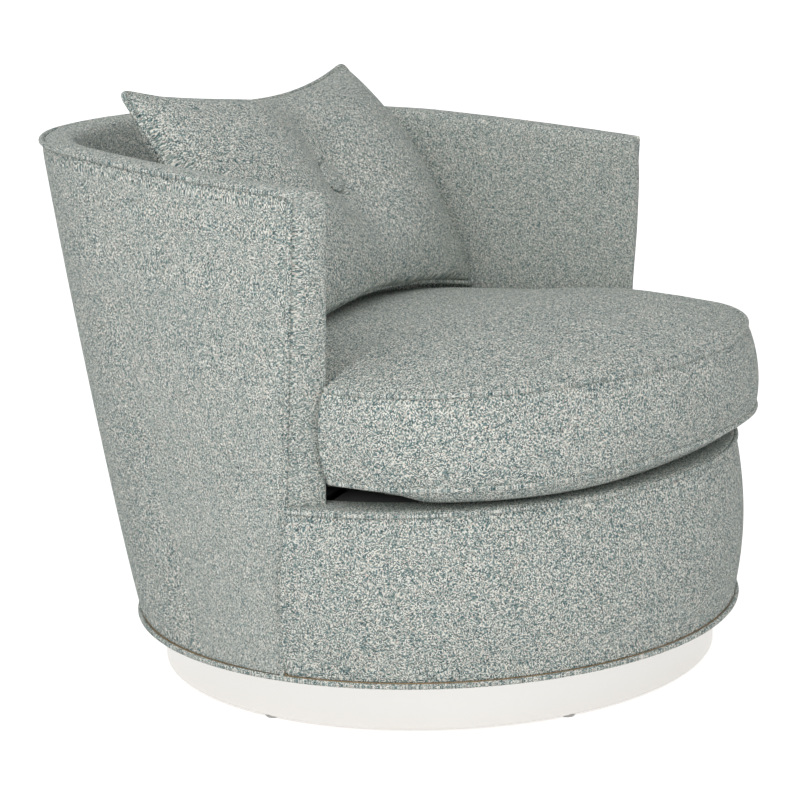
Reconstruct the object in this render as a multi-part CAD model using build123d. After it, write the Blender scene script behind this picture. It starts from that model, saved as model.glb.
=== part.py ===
"""Swivel barrel chair: a padded horseshoe shell with a bowed front border, a loose seat
cushion and a loose buttoned pillow, turning on a ball swivel over a round metal-faced plinth.

Millimetres, +Z up, front towards -Y, left arm at -X. The origin is on the swivel axis, at
the floor. The shell is drawn as hoops: plan outlines of three arcs a side, which turn
through the same headings at every level, so any layer of the wall is an outline between
the round base and the raked rim, set in by the depth of that layer.
"""

import os
from math import acos, asin, atan, cos, degrees, hypot, pi, radians, sin, sqrt

from build123d import *

# --- Plinth and swivel ----------------------------------------------------------------
GLIDE_HEIGHT = 4.0
GLIDE_RADIUS = 11.0
GLIDE_COUNT = 6
PLINTH_RADIUS = 383.0
PLINTH_HEIGHT = 58.0
PLINTH_WALL = 18.0
BAND_THICKNESS = 1.2
BAND_LAP = 24.0
BOARD_THICKNESS = 18.0
BOARD_DROP = 22.0
BRACE_WIDTH = 40.0
PLATE_SIZE = 240.0
PLATE_THICKNESS = 3.0
PLATE_CORNER = 14.0
PLATE_BOLT_SPACING = 200.0
BOLT_RADIUS = 4.0
BOLT_HEAD_RADIUS = 8.0
BOLT_HEAD_HEIGHT = 3.0
BALL_RADIUS = 6.0
BALL_COUNT = 8
BALL_CIRCLE_RADIUS = 80.0
BALL_PLAY = 0.05
RACE_WIDTH = 22.0
RACE_LAND = 3.5
CAGE_THICKNESS = 2.0
CAGE_WIDTH = 20.0
KINGPIN_RADIUS = 8.0
KINGPIN_PLAY = 0.06
KINGPIN_HEAD_RADIUS = 15.0
KINGPIN_HEAD_HEIGHT = 4.0
SWIVEL_GAP = 5.0

# --- Shell of the chair ------------------------------------------------------------------
BASE_RADIUS = 415.0
BASE_BOARD_THICKNESS = 18.0
BACK_HEADING = 20.0
CORNER_HEADING = 79.0
RIM_BACK_Y = BASE_RADIUS + 84.0
RIM_BACK_RADIUS = 1.542 * BASE_RADIUS
RIM_CORNER_RADIUS = 0.673 * BASE_RADIUS
RIM_SIDE_RADIUS = 3.012 * BASE_RADIUS
RIM_HEIGHT_AT_AXIS = 678.5
RIM_RISE = 0.112
LINING_BACK_Y = BASE_RADIUS - 87.0
LINING_BACK_RADIUS = 1.157 * BASE_RADIUS
LINING_CORNER_RADIUS = 0.747 * BASE_RADIUS
LINING_SIDE_RADIUS = 2.41 * BASE_RADIUS
WALL_THICKNESS = 46.0
ARM_FRONT_Y_BASE = -50.0
ARM_FRONT_Y_RIM = -102.5
ARM_SWEEP_BASE = 48.0
ARM_SWEEP_RIM = 20.0
COVER_THICKNESS = 3.0
FRAME_THICKNESS = 20.0
ARM_PANEL_THICKNESS = 16.0
ARM_PANEL_ROUND = 9.0
RIM_PAD = 15.0
RIM_CROWN = 5.5
WELT_RADIUS = 4.0
TOP_RAIL_HEIGHT = 60.0
MID_RAIL_HEIGHT = 40.0
POST_WIDTH = 45.0
POST_INSET = 1.5
POST_HEADINGS = (21.5, 45.0, 67.5, 82.5, 91.8)
LAYER_GAP = 0.3
FRAME_DEPTH = COVER_THICKNESS + 0.5
FRAME_SETBACK = ARM_PANEL_THICKNESS + 10.0

# --- Front border and deck --------------------------------------------------------------------
DECK_HEIGHT = 291.0
FRONT_HEADING = 47.9
FRONT_RADIUS = 1.072 * BASE_RADIUS
FRONT_CENTRE_Y = 0.077 * BASE_RADIUS
FRONT_CORNER_RADIUS = 0.814 * BASE_RADIUS
BORDER_THICKNESS = 24.0
BORDER_BULGE = 6.0
BORDER_BOARD_THICKNESS = 9.0
DECK_THICKNESS = 20.0
DECK_GAP = 1.0
STRAP_WIDTH = 50.0
STRAP_THICKNESS = 2.0
STRAP_PITCH = 110.0
STRAP_ROWS = (-170.0, 32.5, 140.0, 250.0)
FRONT_BOARD_Y = -95.0
DECK_EAR_Y = -90.0

# --- Seat cushion -------------------------------------------------------------------------------
CUSHION_BOTTOM_SEAM = 322.0
CUSHION_TOP_SEAM = 434.0
CUSHION_CROWN = 37.0
CUSHION_BULGE = 5.0
CUSHION_SIDE_GAP = 15.0
CUSHION_FRONT_Y = -BASE_RADIUS - 4.0
CUSHION_FRONT_RADIUS = 2.289 * BASE_RADIUS
CUSHION_SHOULDER_RADIUS = 0.699 * BASE_RADIUS
CUSHION_SHOULDER_HEADING = 75.0
CUSHION_EAR_X = BASE_RADIUS - 26.0
CUSHION_EAR_Y = -122.0
CUSHION_HEART_Y = -60.0
CUSHION_EAR_ROUND = 16.0
CUSHION_WELT_RADIUS = 3.5
ZIPPER_LENGTH = 310.0
ZIPPER_HEIGHT = 7.0

# --- Pillow ---------------------------------------------------------------------------------------
PILLOW_HALF_WIDTH = 332.0
PILLOW_HALF_HEIGHT = 193.5
PILLOW_SIDE_DRAW = 6.0
PILLOW_TOP_DRAW = 43.0
PILLOW_CORNER = 14.0
PILLOW_HALF_THICKNESS = 96.5
PILLOW_LEAN = 33.2
PILLOW_TURN = 11.35
PILLOW_ROLL = 0.4
PILLOW_WELT_RADIUS = 3.5
PILLOW_DROP = (PILLOW_HALF_HEIGHT + PILLOW_WELT_RADIUS) * cos(radians(PILLOW_LEAN))
PILLOW_CENTRE = (9.5, 290.2 - PILLOW_HALF_THICKNESS, CUSHION_TOP_SEAM + 25.2 + PILLOW_DROP)
BUTTON_RADIUS = 25.0
BUTTON_HEIGHT = 9.0
BUTTON_LEVEL = 38.5
BUTTON_DIMPLE_RADIUS = 85.0

# --- Levels that follow from the sizes above ------------------------------------------------------
DRUM_TOP = GLIDE_HEIGHT + PLINTH_HEIGHT
PLINTH_BOARD_TOP = DRUM_TOP - BOARD_DROP
LOWER_PLATE_TOP = PLINTH_BOARD_TOP + PLATE_THICKNESS
BASE_BOTTOM = DRUM_TOP + SWIVEL_GAP
BASE_TOP = BASE_BOTTOM + BASE_BOARD_THICKNESS
UPPER_PLATE_TOP = BASE_BOTTOM
UPPER_PLATE_BOTTOM = UPPER_PLATE_TOP - PLATE_THICKNESS
HOOP_BASE = BASE_BOTTOM + 2 * WELT_RADIUS
BALL_HEIGHT = (LOWER_PLATE_TOP + UPPER_PLATE_BOTTOM) / 2
MID_RAIL_TOP = DECK_HEIGHT - DECK_THICKNESS - 8.0
MID_RAIL_BOTTOM = MID_RAIL_TOP - MID_RAIL_HEIGHT
PAD_BOTTOM = MID_RAIL_TOP + 2 * STRAP_THICKNESS + 2 * LAYER_GAP

os.makedirs("parts", exist_ok=True)


def save(name, *solids):
    """Write one node, as one solid or as a group of like solids."""
    shape = solids[0] if len(solids) == 1 else Compound(children=list(solids))
    shape.label = name
    export_step(shape, f"parts/{name}.step")


# --- Outlines of the shell --------------------------------------------------------------------------
def chain(back_y, back_radius, corner_radius, side_radius):
    """Centres and radii of the back, corner and side arcs, each tangent to the last."""
    arcs = [(0.0, back_y - back_radius, back_radius)]
    for heading, radius in ((BACK_HEADING, corner_radius), (CORNER_HEADING, side_radius)):
        x, y, last = arcs[-1]
        step = last - radius
        turn = radians(heading)
        arcs.append((x - step * sin(turn), y + step * cos(turn), radius))
    return arcs


BASE_HOOP = [(0.0, 0.0, BASE_RADIUS)] * 3
RIM_HOOP = chain(RIM_BACK_Y, RIM_BACK_RADIUS, RIM_CORNER_RADIUS, RIM_SIDE_RADIUS)
LINING_HOOP = chain(LINING_BACK_Y, LINING_BACK_RADIUS, LINING_CORNER_RADIUS, LINING_SIDE_RADIUS)
RIM_LINING = [(x, y, radius - WALL_THICKNESS) for x, y, radius in RIM_HOOP]


def between(low, high, share):
    """Arcs part of the way from one hoop to another."""
    return [
        tuple((1 - share) * a + share * b for a, b in zip(one, other))
        for one, other in zip(low, high)
    ]


def outer_arcs(level, depth):
    """Outside of the wall at a level from 0, base, to 1, rim, set in by a depth."""
    return [(x, y, r - depth) for x, y, r in between(BASE_HOOP, RIM_HOOP, level)]


def lining_arcs(level, depth):
    """Inside face of the wall at that level, moved out into the wall by a depth."""
    return [(x, y, r + depth) for x, y, r in between(LINING_HOOP, RIM_LINING, level)]


def rim_height(y):
    """Height of the rim seam, which rises towards the back."""
    return RIM_HEIGHT_AT_AXIS + RIM_RISE * y


def level_at(z, y):
    """Level of the hoops that pass a height at a given depth of the chair."""
    return (z - HOOP_BASE) / (rim_height(y) - HOOP_BASE)


def level_up(z):
    """Level of the hoop that stands at a height above the swivel axis."""
    return (z - HOOP_BASE) / (RIM_HEIGHT_AT_AXIS - HOOP_BASE)


def low_level(z):
    """Level for a flat layer at a height, taken at the back, where the hoops lie lowest."""
    return level_at(z, RIM_BACK_Y)


def flat_plane(z):
    """Level plane at a height."""
    return Plane((0, 0, z), x_dir=(1, 0, 0), z_dir=(0, 0, 1))


def hoop_plane(level, lift=0.0):
    """Plane of a hoop: level at the base and raked like the rim at the top."""
    rake = atan(RIM_RISE * level)
    height = HOOP_BASE + level * (RIM_HEIGHT_AT_AXIS - HOOP_BASE) + lift
    return Plane((0, 0, height), x_dir=(1, 0, 0), z_dir=(0, -sin(rake), cos(rake)))


def arc_point(arc, heading, side=-1):
    """Point of an arc at a heading from the middle of the back, on the left or right."""
    x, y, radius = arc
    turn = radians(heading)
    return (-side * (x - radius * sin(turn)), y + radius * cos(turn))


def end_heading(arc, y):
    """Heading at which the side arc comes to a front limit."""
    return degrees(acos((y - arc[1]) / arc[2]))


def front_limit(level, share):
    """Front end of the wall, from its outside, share 0, to its lining, share 1."""
    outside = (1 - level) * ARM_FRONT_Y_BASE + level * ARM_FRONT_Y_RIM
    sweep = (1 - level) * ARM_SWEEP_BASE + level * ARM_SWEEP_RIM
    return outside - share * sweep


def hoop_edges(arcs, limit):
    """Arcs from the left front end round the back to the right front end."""
    turns = [0.0, BACK_HEADING, CORNER_HEADING, end_heading(arcs[2], limit)]
    edges = []
    for index in (2, 1):
        start, end = turns[index + 1], turns[index]
        points = [arc_point(arcs[index], turn) for turn in (start, (start + end) / 2, end)]
        edges.append(ThreePointArc(*points))
    back = arc_point(arcs[0], BACK_HEADING)
    edges.append(ThreePointArc(back, arc_point(arcs[0], 0.0), (-back[0], back[1])))
    for index in (1, 2):
        start, end = turns[index], turns[index + 1]
        points = [arc_point(arcs[index], turn, 1) for turn in (start, (start + end) / 2, end)]
        edges.append(ThreePointArc(*points))
    return edges


def wall_section(level, outside, inside, limits, lift=0.0, flat=None):
    """Closed horseshoe between two outlines, on the plane of its hoop or a flat one."""
    out = hoop_edges(outside, limits[0])
    back = hoop_edges(inside, limits[1])
    ends = [
        Line(out[-1] @ 1, back[-1] @ 1),
        Line(back[0] @ 0, out[0] @ 0),
    ]
    wire = Wire(out + [ends[0]] + back + [ends[1]])
    plane = hoop_plane(level, lift) if flat is None else flat_plane(flat)
    return plane * wire


def wall_solid(sections):
    """Ruled solid through horseshoe sections."""
    return Solid.make_loft(sections, True)


def wall_layer(level, depth_out, depth_in, setback=0.0, lift=0.0, flat=None, square=False):
    """Section of a layer that follows the outside, with swept or square ends."""
    arcs_out, arcs_in = outer_arcs(level, depth_out), outer_arcs(level, depth_in)
    shares = (depth_out / WALL_THICKNESS, depth_in / WALL_THICKNESS)
    if square:
        shares = (0.0, 0.0)
    limits = [front_limit(level, share) + setback for share in shares]
    return wall_section(level, arcs_out, arcs_in, limits, lift, flat)


def lining_layer(level, depth_out, inset, setback=0.0, lift=0.0, flat=None):
    """Section of a layer from a depth of the outside to an inset from the lining."""
    arcs_out, arcs_in = outer_arcs(level, depth_out), lining_arcs(level, inset)
    shares = (depth_out / WALL_THICKNESS, 1 - inset / WALL_THICKNESS)
    limits = [front_limit(level, share) + setback for share in shares]
    return wall_section(level, arcs_out, arcs_in, limits, lift, flat)


# --- Front outlines, bowed round the seat ---------------------------------------------------------------
def front_arcs(share, depth):
    """Front bow from the round base, share 0, to the deck, share 1, set in by a depth."""
    turn = radians(FRONT_HEADING)
    step = FRONT_RADIUS - FRONT_CORNER_RADIUS
    deck = [
        (0.0, FRONT_CENTRE_Y, FRONT_RADIUS),
        (-step * sin(turn), FRONT_CENTRE_Y - step * cos(turn), FRONT_CORNER_RADIUS),
    ]
    arcs = between([(0.0, 0.0, BASE_RADIUS)] * 2, deck, share)
    return [(x, y, radius - depth) for x, y, radius in arcs]


def front_point(arc, heading, side=-1):
    """Point of a front arc at a heading from the middle of the front."""
    x, y, radius = arc
    turn = radians(heading)
    return (-side * (x - radius * sin(turn)), y - radius * cos(turn))


def front_edges(arcs, limit):
    """Arcs from the left end of the bow to its right end, where y reaches the limit."""
    end = degrees(acos((arcs[1][1] - limit) / arcs[1][2]))
    turns = (end, (end + FRONT_HEADING) / 2, FRONT_HEADING)
    left = [front_point(arcs[1], turn) for turn in turns]
    right = [front_point(arcs[1], turn, 1) for turn in reversed(turns)]
    middle = ThreePointArc(left[-1], front_point(arcs[0], 0.0), right[0])
    return [ThreePointArc(*left), middle, ThreePointArc(*right)]


def bow_section(z, share, depths, limit):
    """Closed section of a bowed layer between two depths, at a height."""
    out = front_edges(front_arcs(share, depths[0]), limit)
    back = front_edges(front_arcs(share, depths[1]), limit)
    wire = Wire(out + [Line(out[-1] @ 1, back[-1] @ 1)] + back + [Line(back[0] @ 0, out[0] @ 0)])
    return Pos(0, 0, z) * wire


def bow_share(z):
    """Share of the way from the base to the deck."""
    return (z - HOOP_BASE) / (DECK_HEIGHT - HOOP_BASE)


def seam_front(z):
    """Front end of the outside cover at a height, where the upright welt runs."""
    level = level_at(z, ARM_FRONT_Y_BASE)
    return front_limit(level, 0.0)


# --- Plinth -------------------------------------------------------------------------------------------------
def ring(outer, inner, low, high):
    """Plain upright ring."""
    return Pos(0, 0, low) * extrude(Circle(outer) - Circle(inner), high - low)


def rod(radius, low, high, x=0.0, y=0.0):
    """Upright cylinder between two heights."""
    return Pos(x, y, (low + high) / 2) * Cylinder(radius, high - low)


def corners(spacing):
    """Four corners of a square pattern."""
    half = spacing / 2
    return [(x, y) for x in (-half, half) for y in (-half, half)]


def plinth():
    drum_radius = PLINTH_RADIUS - BAND_THICKNESS
    inside = drum_radius - PLINTH_WALL
    board_low = PLINTH_BOARD_TOP - BOARD_THICKNESS
    save("plinth_drum", ring(drum_radius, inside, GLIDE_HEIGHT, DRUM_TOP).solid())
    lap = Pos(0, PLINTH_RADIUS + BAND_THICKNESS / 2, (GLIDE_HEIGHT + DRUM_TOP) / 2) * Box(
        BAND_LAP, 3 * BAND_THICKNESS, PLINTH_HEIGHT
    )
    outer = ring(PLINTH_RADIUS + BAND_THICKNESS, PLINTH_RADIUS, GLIDE_HEIGHT, DRUM_TOP)
    band = ring(PLINTH_RADIUS, drum_radius, GLIDE_HEIGHT, DRUM_TOP) + (outer & lap)
    save("plinth_band", band.solid())

    board = ring(inside, KINGPIN_RADIUS + 4.0, board_low, PLINTH_BOARD_TOP)
    for x, y in corners(PLATE_BOLT_SPACING):
        board -= rod(BOLT_RADIUS, board_low, PLINTH_BOARD_TOP, x, y)
    save("plinth_board", board.solid())

    brace_height = board_low - GLIDE_HEIGHT
    brace_z = board_low - brace_height / 2
    length = 2 * sqrt(inside**2 - (BRACE_WIDTH / 2) ** 2) - 1.0
    for name, turn, drop in (("plinth_brace_across", 45, 1), ("plinth_brace_along", -45, -1)):
        rail = Pos(0, 0, brace_z) * Rot(0, 0, turn) * Box(length, BRACE_WIDTH, brace_height)
        notch = Pos(0, 0, brace_z + drop * brace_height / 4) * Rot(0, 0, turn) * Box(
            BRACE_WIDTH, BRACE_WIDTH, brace_height / 2
        )
        rail -= notch
        for x, y in corners(PLATE_BOLT_SPACING):
            rail -= rod(BOLT_HEAD_RADIUS + 1.0, brace_z - brace_height, board_low, x, y)
        save(name, *rail.solids())

    # Glides under the wall of the drum, and one in the middle, where the braces cross.
    circle = drum_radius - PLINTH_WALL / 2
    step = 2 * pi / GLIDE_COUNT
    places = [(0.0, 0.0)]
    places += [(circle * cos(i * step), circle * sin(i * step)) for i in range(GLIDE_COUNT)]
    pad = Pos(0, 0, GLIDE_HEIGHT / 2) * Cone(GLIDE_RADIUS - 3.0, GLIDE_RADIUS, GLIDE_HEIGHT)
    save("floor_glides", *[(Pos(x, y, 0) * pad).solid() for x, y in places])


# --- Swivel ------------------------------------------------------------------------------------------------------
def swivel_plate(low, hub_radius):
    """Square steel plate with a hub hole and four bolt holes."""
    sheet = RectangleRounded(PLATE_SIZE, PLATE_SIZE, PLATE_CORNER) - Circle(hub_radius)
    for x, y in corners(PLATE_BOLT_SPACING):
        sheet -= Pos(x, y) * Circle(BOLT_RADIUS)
    return (Pos(0, 0, low) * extrude(sheet, PLATE_THICKNESS)).solid()


def race(z_plate, side):
    """Ring with a ball groove, standing off a plate towards the balls."""
    reach = abs(BALL_HEIGHT - z_plate) - 2.0
    half = RACE_WIDTH / 2
    top = z_plate + side * reach
    groove = BALL_RADIUS + BALL_PLAY
    span = sqrt(groove**2 - (BALL_HEIGHT - top) ** 2)
    centre = BALL_CIRCLE_RADIUS
    profile = make_face(
        [
            Line((centre - half, z_plate), (centre + half, z_plate)),
            Line((centre + half, z_plate), (centre + span + RACE_LAND, top)),
            Line((centre + span + RACE_LAND, top), (centre + span, top)),
            ThreePointArc(
                (centre + span, top), (centre, BALL_HEIGHT - side * groove), (centre - span, top)
            ),
            Line((centre - span, top), (centre - span - RACE_LAND, top)),
            Line((centre - span - RACE_LAND, top), (centre - half, z_plate)),
        ]
    )
    return revolve(Plane.XZ * profile, Axis.Z).solid()


def bolt(x, y, low, high, head_side):
    """Pan-headed bolt, with its head below, side -1, or above, side 1."""
    shank = rod(BOLT_RADIUS, low, high, x, y)
    if head_side < 0:
        head = rod(BOLT_HEAD_RADIUS, low - BOLT_HEAD_HEIGHT, low, x, y)
    else:
        head = rod(BOLT_HEAD_RADIUS, high, high + BOLT_HEAD_HEIGHT, x, y)
    return (shank + head).solid()


def swivel():
    save("swivel_lower_plate", swivel_plate(PLINTH_BOARD_TOP, KINGPIN_RADIUS))
    save("swivel_upper_plate", swivel_plate(UPPER_PLATE_BOTTOM, KINGPIN_RADIUS + KINGPIN_PLAY))
    save("swivel_lower_race", race(LOWER_PLATE_TOP, 1))
    save("swivel_upper_race", race(UPPER_PLATE_BOTTOM, -1))

    step = 2 * pi / BALL_COUNT
    seats = [
        (BALL_CIRCLE_RADIUS * cos(i * step), BALL_CIRCLE_RADIUS * sin(i * step))
        for i in range(BALL_COUNT)
    ]
    save("swivel_balls", *[Pos(x, y, BALL_HEIGHT) * Sphere(BALL_RADIUS).solid() for x, y in seats])
    half = CAGE_WIDTH / 2
    cage = ring(
        BALL_CIRCLE_RADIUS + half,
        BALL_CIRCLE_RADIUS - half,
        BALL_HEIGHT - CAGE_THICKNESS / 2,
        BALL_HEIGHT + CAGE_THICKNESS / 2,
    )
    for x, y in seats:
        cage -= rod(BALL_RADIUS + LAYER_GAP, BALL_HEIGHT - 5, BALL_HEIGHT + 5, x, y)
    save("swivel_ball_cage", cage.solid())

    pin_low = PLINTH_BOARD_TOP - 1.0
    pin_high = UPPER_PLATE_TOP + LAYER_GAP
    pin = rod(KINGPIN_RADIUS, PLINTH_BOARD_TOP, pin_high)
    pin += rod(KINGPIN_RADIUS + 3.0, pin_low - 2.0, PLINTH_BOARD_TOP)
    pin += rod(KINGPIN_HEAD_RADIUS, pin_high, pin_high + KINGPIN_HEAD_HEIGHT)
    save("swivel_kingpin", pin.solid())

    pattern = corners(PLATE_BOLT_SPACING)
    lower = [
        bolt(x, y, PLINTH_BOARD_TOP - BOARD_THICKNESS, LOWER_PLATE_TOP, -1) for x, y in pattern
    ]
    upper = [bolt(x, y, UPPER_PLATE_BOTTOM, BASE_TOP, 1) for x, y in pattern]
    save("plinth_plate_bolts", *lower)
    save("seat_plate_bolts", *upper)


# --- Frame ----------------------------------------------------------------------------------------------------------
def base_board():
    board = ring(
        BASE_RADIUS - COVER_THICKNESS - 2 * LAYER_GAP,
        KINGPIN_HEAD_RADIUS + 3.0,
        BASE_BOTTOM,
        BASE_TOP,
    )
    for x, y in corners(PLATE_BOLT_SPACING):
        board -= rod(BOLT_RADIUS, BASE_BOTTOM, BASE_TOP, x, y)
    return board


def rail(name, low, high):
    """Bent plywood rail in the frame layer of the wall, between two sections."""
    save(name, wall_solid([low, high]))


def post(heading, low, high, side):
    """Upright in the frame layer at a heading, between two levels, each with a flat or None."""
    wires = []
    for level, flat in (low, high):
        index = 0 if heading < BACK_HEADING else 1 if heading < CORNER_HEADING else 2
        arc = outer_arcs(level, FRAME_DEPTH + POST_INSET)[index]
        inner = (arc[0], arc[1], arc[2] - FRAME_THICKNESS + 2 * POST_INSET)
        x, y = arc_point(arc, heading, side)
        u, v = arc_point(inner, heading, side)
        length = hypot(x - u, y - v)
        along = ((y - v) / length * POST_WIDTH / 2, (u - x) / length * POST_WIDTH / 2)
        points = [
            (x + along[0], y + along[1]),
            (x - along[0], y - along[1]),
            (u - along[0], v - along[1]),
            (u + along[0], v + along[1]),
        ]
        plane = hoop_plane(level) if flat is None else flat_plane(flat)
        wires.append(plane * Wire.make_polygon([Vector(a, b, 0) for a, b in points]))
    return Solid.make_loft(wires, True)


def frame():
    save("base_board", base_board().solid())
    depth = FRAME_DEPTH
    inner = depth + FRAME_THICKNESS
    setback = FRAME_SETBACK
    mid_low, mid_high = low_level(MID_RAIL_BOTTOM), low_level(MID_RAIL_TOP)
    rail(
        "seat_rail",
        wall_layer(mid_low, depth + 0.4, inner, setback, flat=MID_RAIL_BOTTOM),
        wall_layer(mid_high, depth + 0.4, inner, setback, flat=MID_RAIL_TOP),
    )
    top = RIM_HEIGHT_AT_AXIS - RIM_PAD
    top_low, top_high = level_up(top - TOP_RAIL_HEIGHT), level_up(top)
    rail(
        "top_rail",
        wall_layer(top_low, depth, inner, setback),
        wall_layer(top_high, depth, inner, setback),
    )
    foot = (low_level(BASE_TOP), BASE_TOP)
    under = (mid_low, MID_RAIL_BOTTOM)
    over = (mid_high, MID_RAIL_TOP)
    head = (top_low, None)
    sides = (-1, 1)
    save("lower_posts", *[post(h, foot, under, side) for h in POST_HEADINGS for side in sides])
    save("upper_posts", *[post(h, over, head, side) for h in POST_HEADINGS for side in sides])


# --- Shell covers and pads ---------------------------------------------------------------------------------------------
def shell():
    # Thin board and cover over the outside, from the base seam to the rim seam.
    gap = WELT_RADIUS + LAYER_GAP
    top = level_up(RIM_HEIGHT_AT_AXIS - WELT_RADIUS - LAYER_GAP)
    inner = COVER_THICKNESS - LAYER_GAP
    save(
        "outside_cover",
        wall_solid([wall_layer(t, 0.0, inner, gap, square=True) for t in (0.0, top)]),
    )

    # Inside pad, which rolls over the top of the frame to the rim seam.
    depth = FRAME_DEPTH + FRAME_THICKNESS + LAYER_GAP
    back = ARM_PANEL_THICKNESS
    low = PAD_BOTTOM
    under_cap = RIM_HEIGHT_AT_AXIS - RIM_PAD + LAYER_GAP
    lining = wall_solid(
        [
            lining_layer(low_level(low), depth, 0.0, back, flat=low),
            lining_layer(level_up(under_cap), depth, 0.0, back),
        ]
    )
    edge = WELT_RADIUS
    cap = wall_solid(
        [
            lining_layer(level_up(under_cap), edge, 0.0, back),
            lining_layer(1.0, edge, 0.0, back),
            lining_layer(1.0, edge + 2.0, 2.0, back, RIM_CROWN * 0.7),
            lining_layer(1.0, edge + 11.0, 11.0, back, RIM_CROWN),
        ]
    )
    save("inside_pad", (lining + cap).solid())

    # Self welts in the rim seam and up the front edge of each arm.
    r = WELT_RADIUS
    welt = wall_solid(
        [
            wall_layer(1.0, -r / 3, r / 3, 0.0, -r),
            wall_layer(1.0, -r, r - LAYER_GAP, 0.0, -r / 3),
            wall_layer(1.0, -r, r - LAYER_GAP, 0.0, r / 3),
            wall_layer(1.0, -r / 3, r / 3, 0.0, r),
        ]
    )
    save("rim_welt", welt)
    top = level_up(RIM_HEIGHT_AT_AXIS - r - LAYER_GAP)
    for name, side in (("arm_welt_left", -1), ("arm_welt_right", 1)):
        save(name, Solid.make_loft([welt_end(0.0, side), welt_end(top, side)], True))


def welt_end(level, side):
    """Six-sided section of the upright welt at an arm's front corner."""
    arc = outer_arcs(level, 0.0)[2]
    x, y = arc_point(arc, end_heading(arc, front_limit(level, 0.0)), side)
    r = WELT_RADIUS - LAYER_GAP / 2
    ring = [(cos(i * pi / 3) * r, sin(i * pi / 3) * r) for i in range(6)]
    points = [Vector(x + side * 0.2 + u, y + v, 0) for u, v in ring]
    return hoop_plane(level) * Wire.make_polygon(points)


def arm_panel_wire(level, side):
    """Plan section of a padded arm front, rounded where it turns inside."""
    out = outer_arcs(level, WELT_RADIUS + LAYER_GAP)[2]
    lined = lining_arcs(level, 0.0)[2]
    y_out = front_limit(level, (WELT_RADIUS + LAYER_GAP) / WALL_THICKNESS)
    y_in = front_limit(level, 1.0)
    back = ARM_PANEL_THICKNESS - LAYER_GAP
    a = arc_point(out, end_heading(out, y_out + back), side)
    b = arc_point(out, end_heading(out, y_out), side)
    c = arc_point(lined, end_heading(lined, y_in), side)
    d = arc_point(lined, end_heading(lined, y_in + back), side)
    # The inner corner is cut back along both faces and joined by an arc.
    size = ARM_PANEL_ROUND
    width = hypot(c[0] - b[0], c[1] - b[1])
    p = (c[0] + (b[0] - c[0]) * size / width, c[1] + (b[1] - c[1]) * size / width)
    q = (c[0] + (d[0] - c[0]) * size / back, c[1] + (d[1] - c[1]) * size / back)
    mid = (
        c[0] + (p[0] - c[0] + q[0] - c[0]) * 0.29,
        c[1] + (p[1] - c[1] + q[1] - c[1]) * 0.29,
    )
    wire = Wire([Line(a, b), Line(b, p), ThreePointArc(p, mid, q), Line(q, d), Line(d, a)])
    return hoop_plane(level) * wire


def arm_fronts():
    low = level_at(DECK_HEIGHT + WELT_RADIUS + LAYER_GAP, ARM_FRONT_Y_BASE - ARM_SWEEP_BASE)
    for name, side in (("arm_front_left", -1), ("arm_front_right", 1)):
        save(name, Solid.make_loft([arm_panel_wire(low, side), arm_panel_wire(1.0, side)], True))


def border():
    gap = WELT_RADIUS + LAYER_GAP
    low, high = HOOP_BASE, DECK_HEIGHT - 2 * WELT_RADIUS
    lip_top = BASE_TOP + LAYER_GAP
    middle = (lip_top + high) / 2
    lip = (0.0, COVER_THICKNESS - LAYER_GAP)
    depths = (0.0, BORDER_THICKNESS)
    bulged = (-BORDER_BULGE, BORDER_THICKNESS)

    def section(z, across):
        return bow_section(z, bow_share(z), across, seam_front(z) - gap)

    edge = Solid.make_loft([section(low, lip), section(lip_top, lip)], True)
    pad = Solid.make_loft(
        [section(lip_top, depths), section(middle, bulged), section(high, depths)], True
    )
    save("front_border", (pad + edge).solid())

    inner = BORDER_THICKNESS + LAYER_GAP
    depths = (inner, inner + BORDER_BOARD_THICKNESS)
    sections = [
        bow_section(z, bow_share(z), depths, FRONT_BOARD_Y) for z in (BASE_TOP, MID_RAIL_TOP)
    ]
    save("front_board", Solid.make_loft(sections, True))

    # Welts under the deck, round the front, and under the shell, all the way round.
    r = WELT_RADIUS
    limit = seam_front(DECK_HEIGHT) - gap
    share = bow_share(DECK_HEIGHT)
    rows = ((LAYER_GAP - r, 0.3), (-r / 3, 1.0), (r / 3, 1.0), (r, 0.3))
    sections = [
        bow_section(DECK_HEIGHT - r + dz, share, (-r * k, r * k), limit) for dz, k in rows
    ]
    save("deck_welt", Solid.make_loft(sections, True))
    centre = BASE_RADIUS - COVER_THICKNESS - LAYER_GAP + r
    z = HOOP_BASE - r
    profile = Pos(centre, z) * RegularPolygon(r - LAYER_GAP, 6, rotation=30)
    save("base_welt", revolve(Plane.XZ * profile, Axis.Z).solid())


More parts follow.
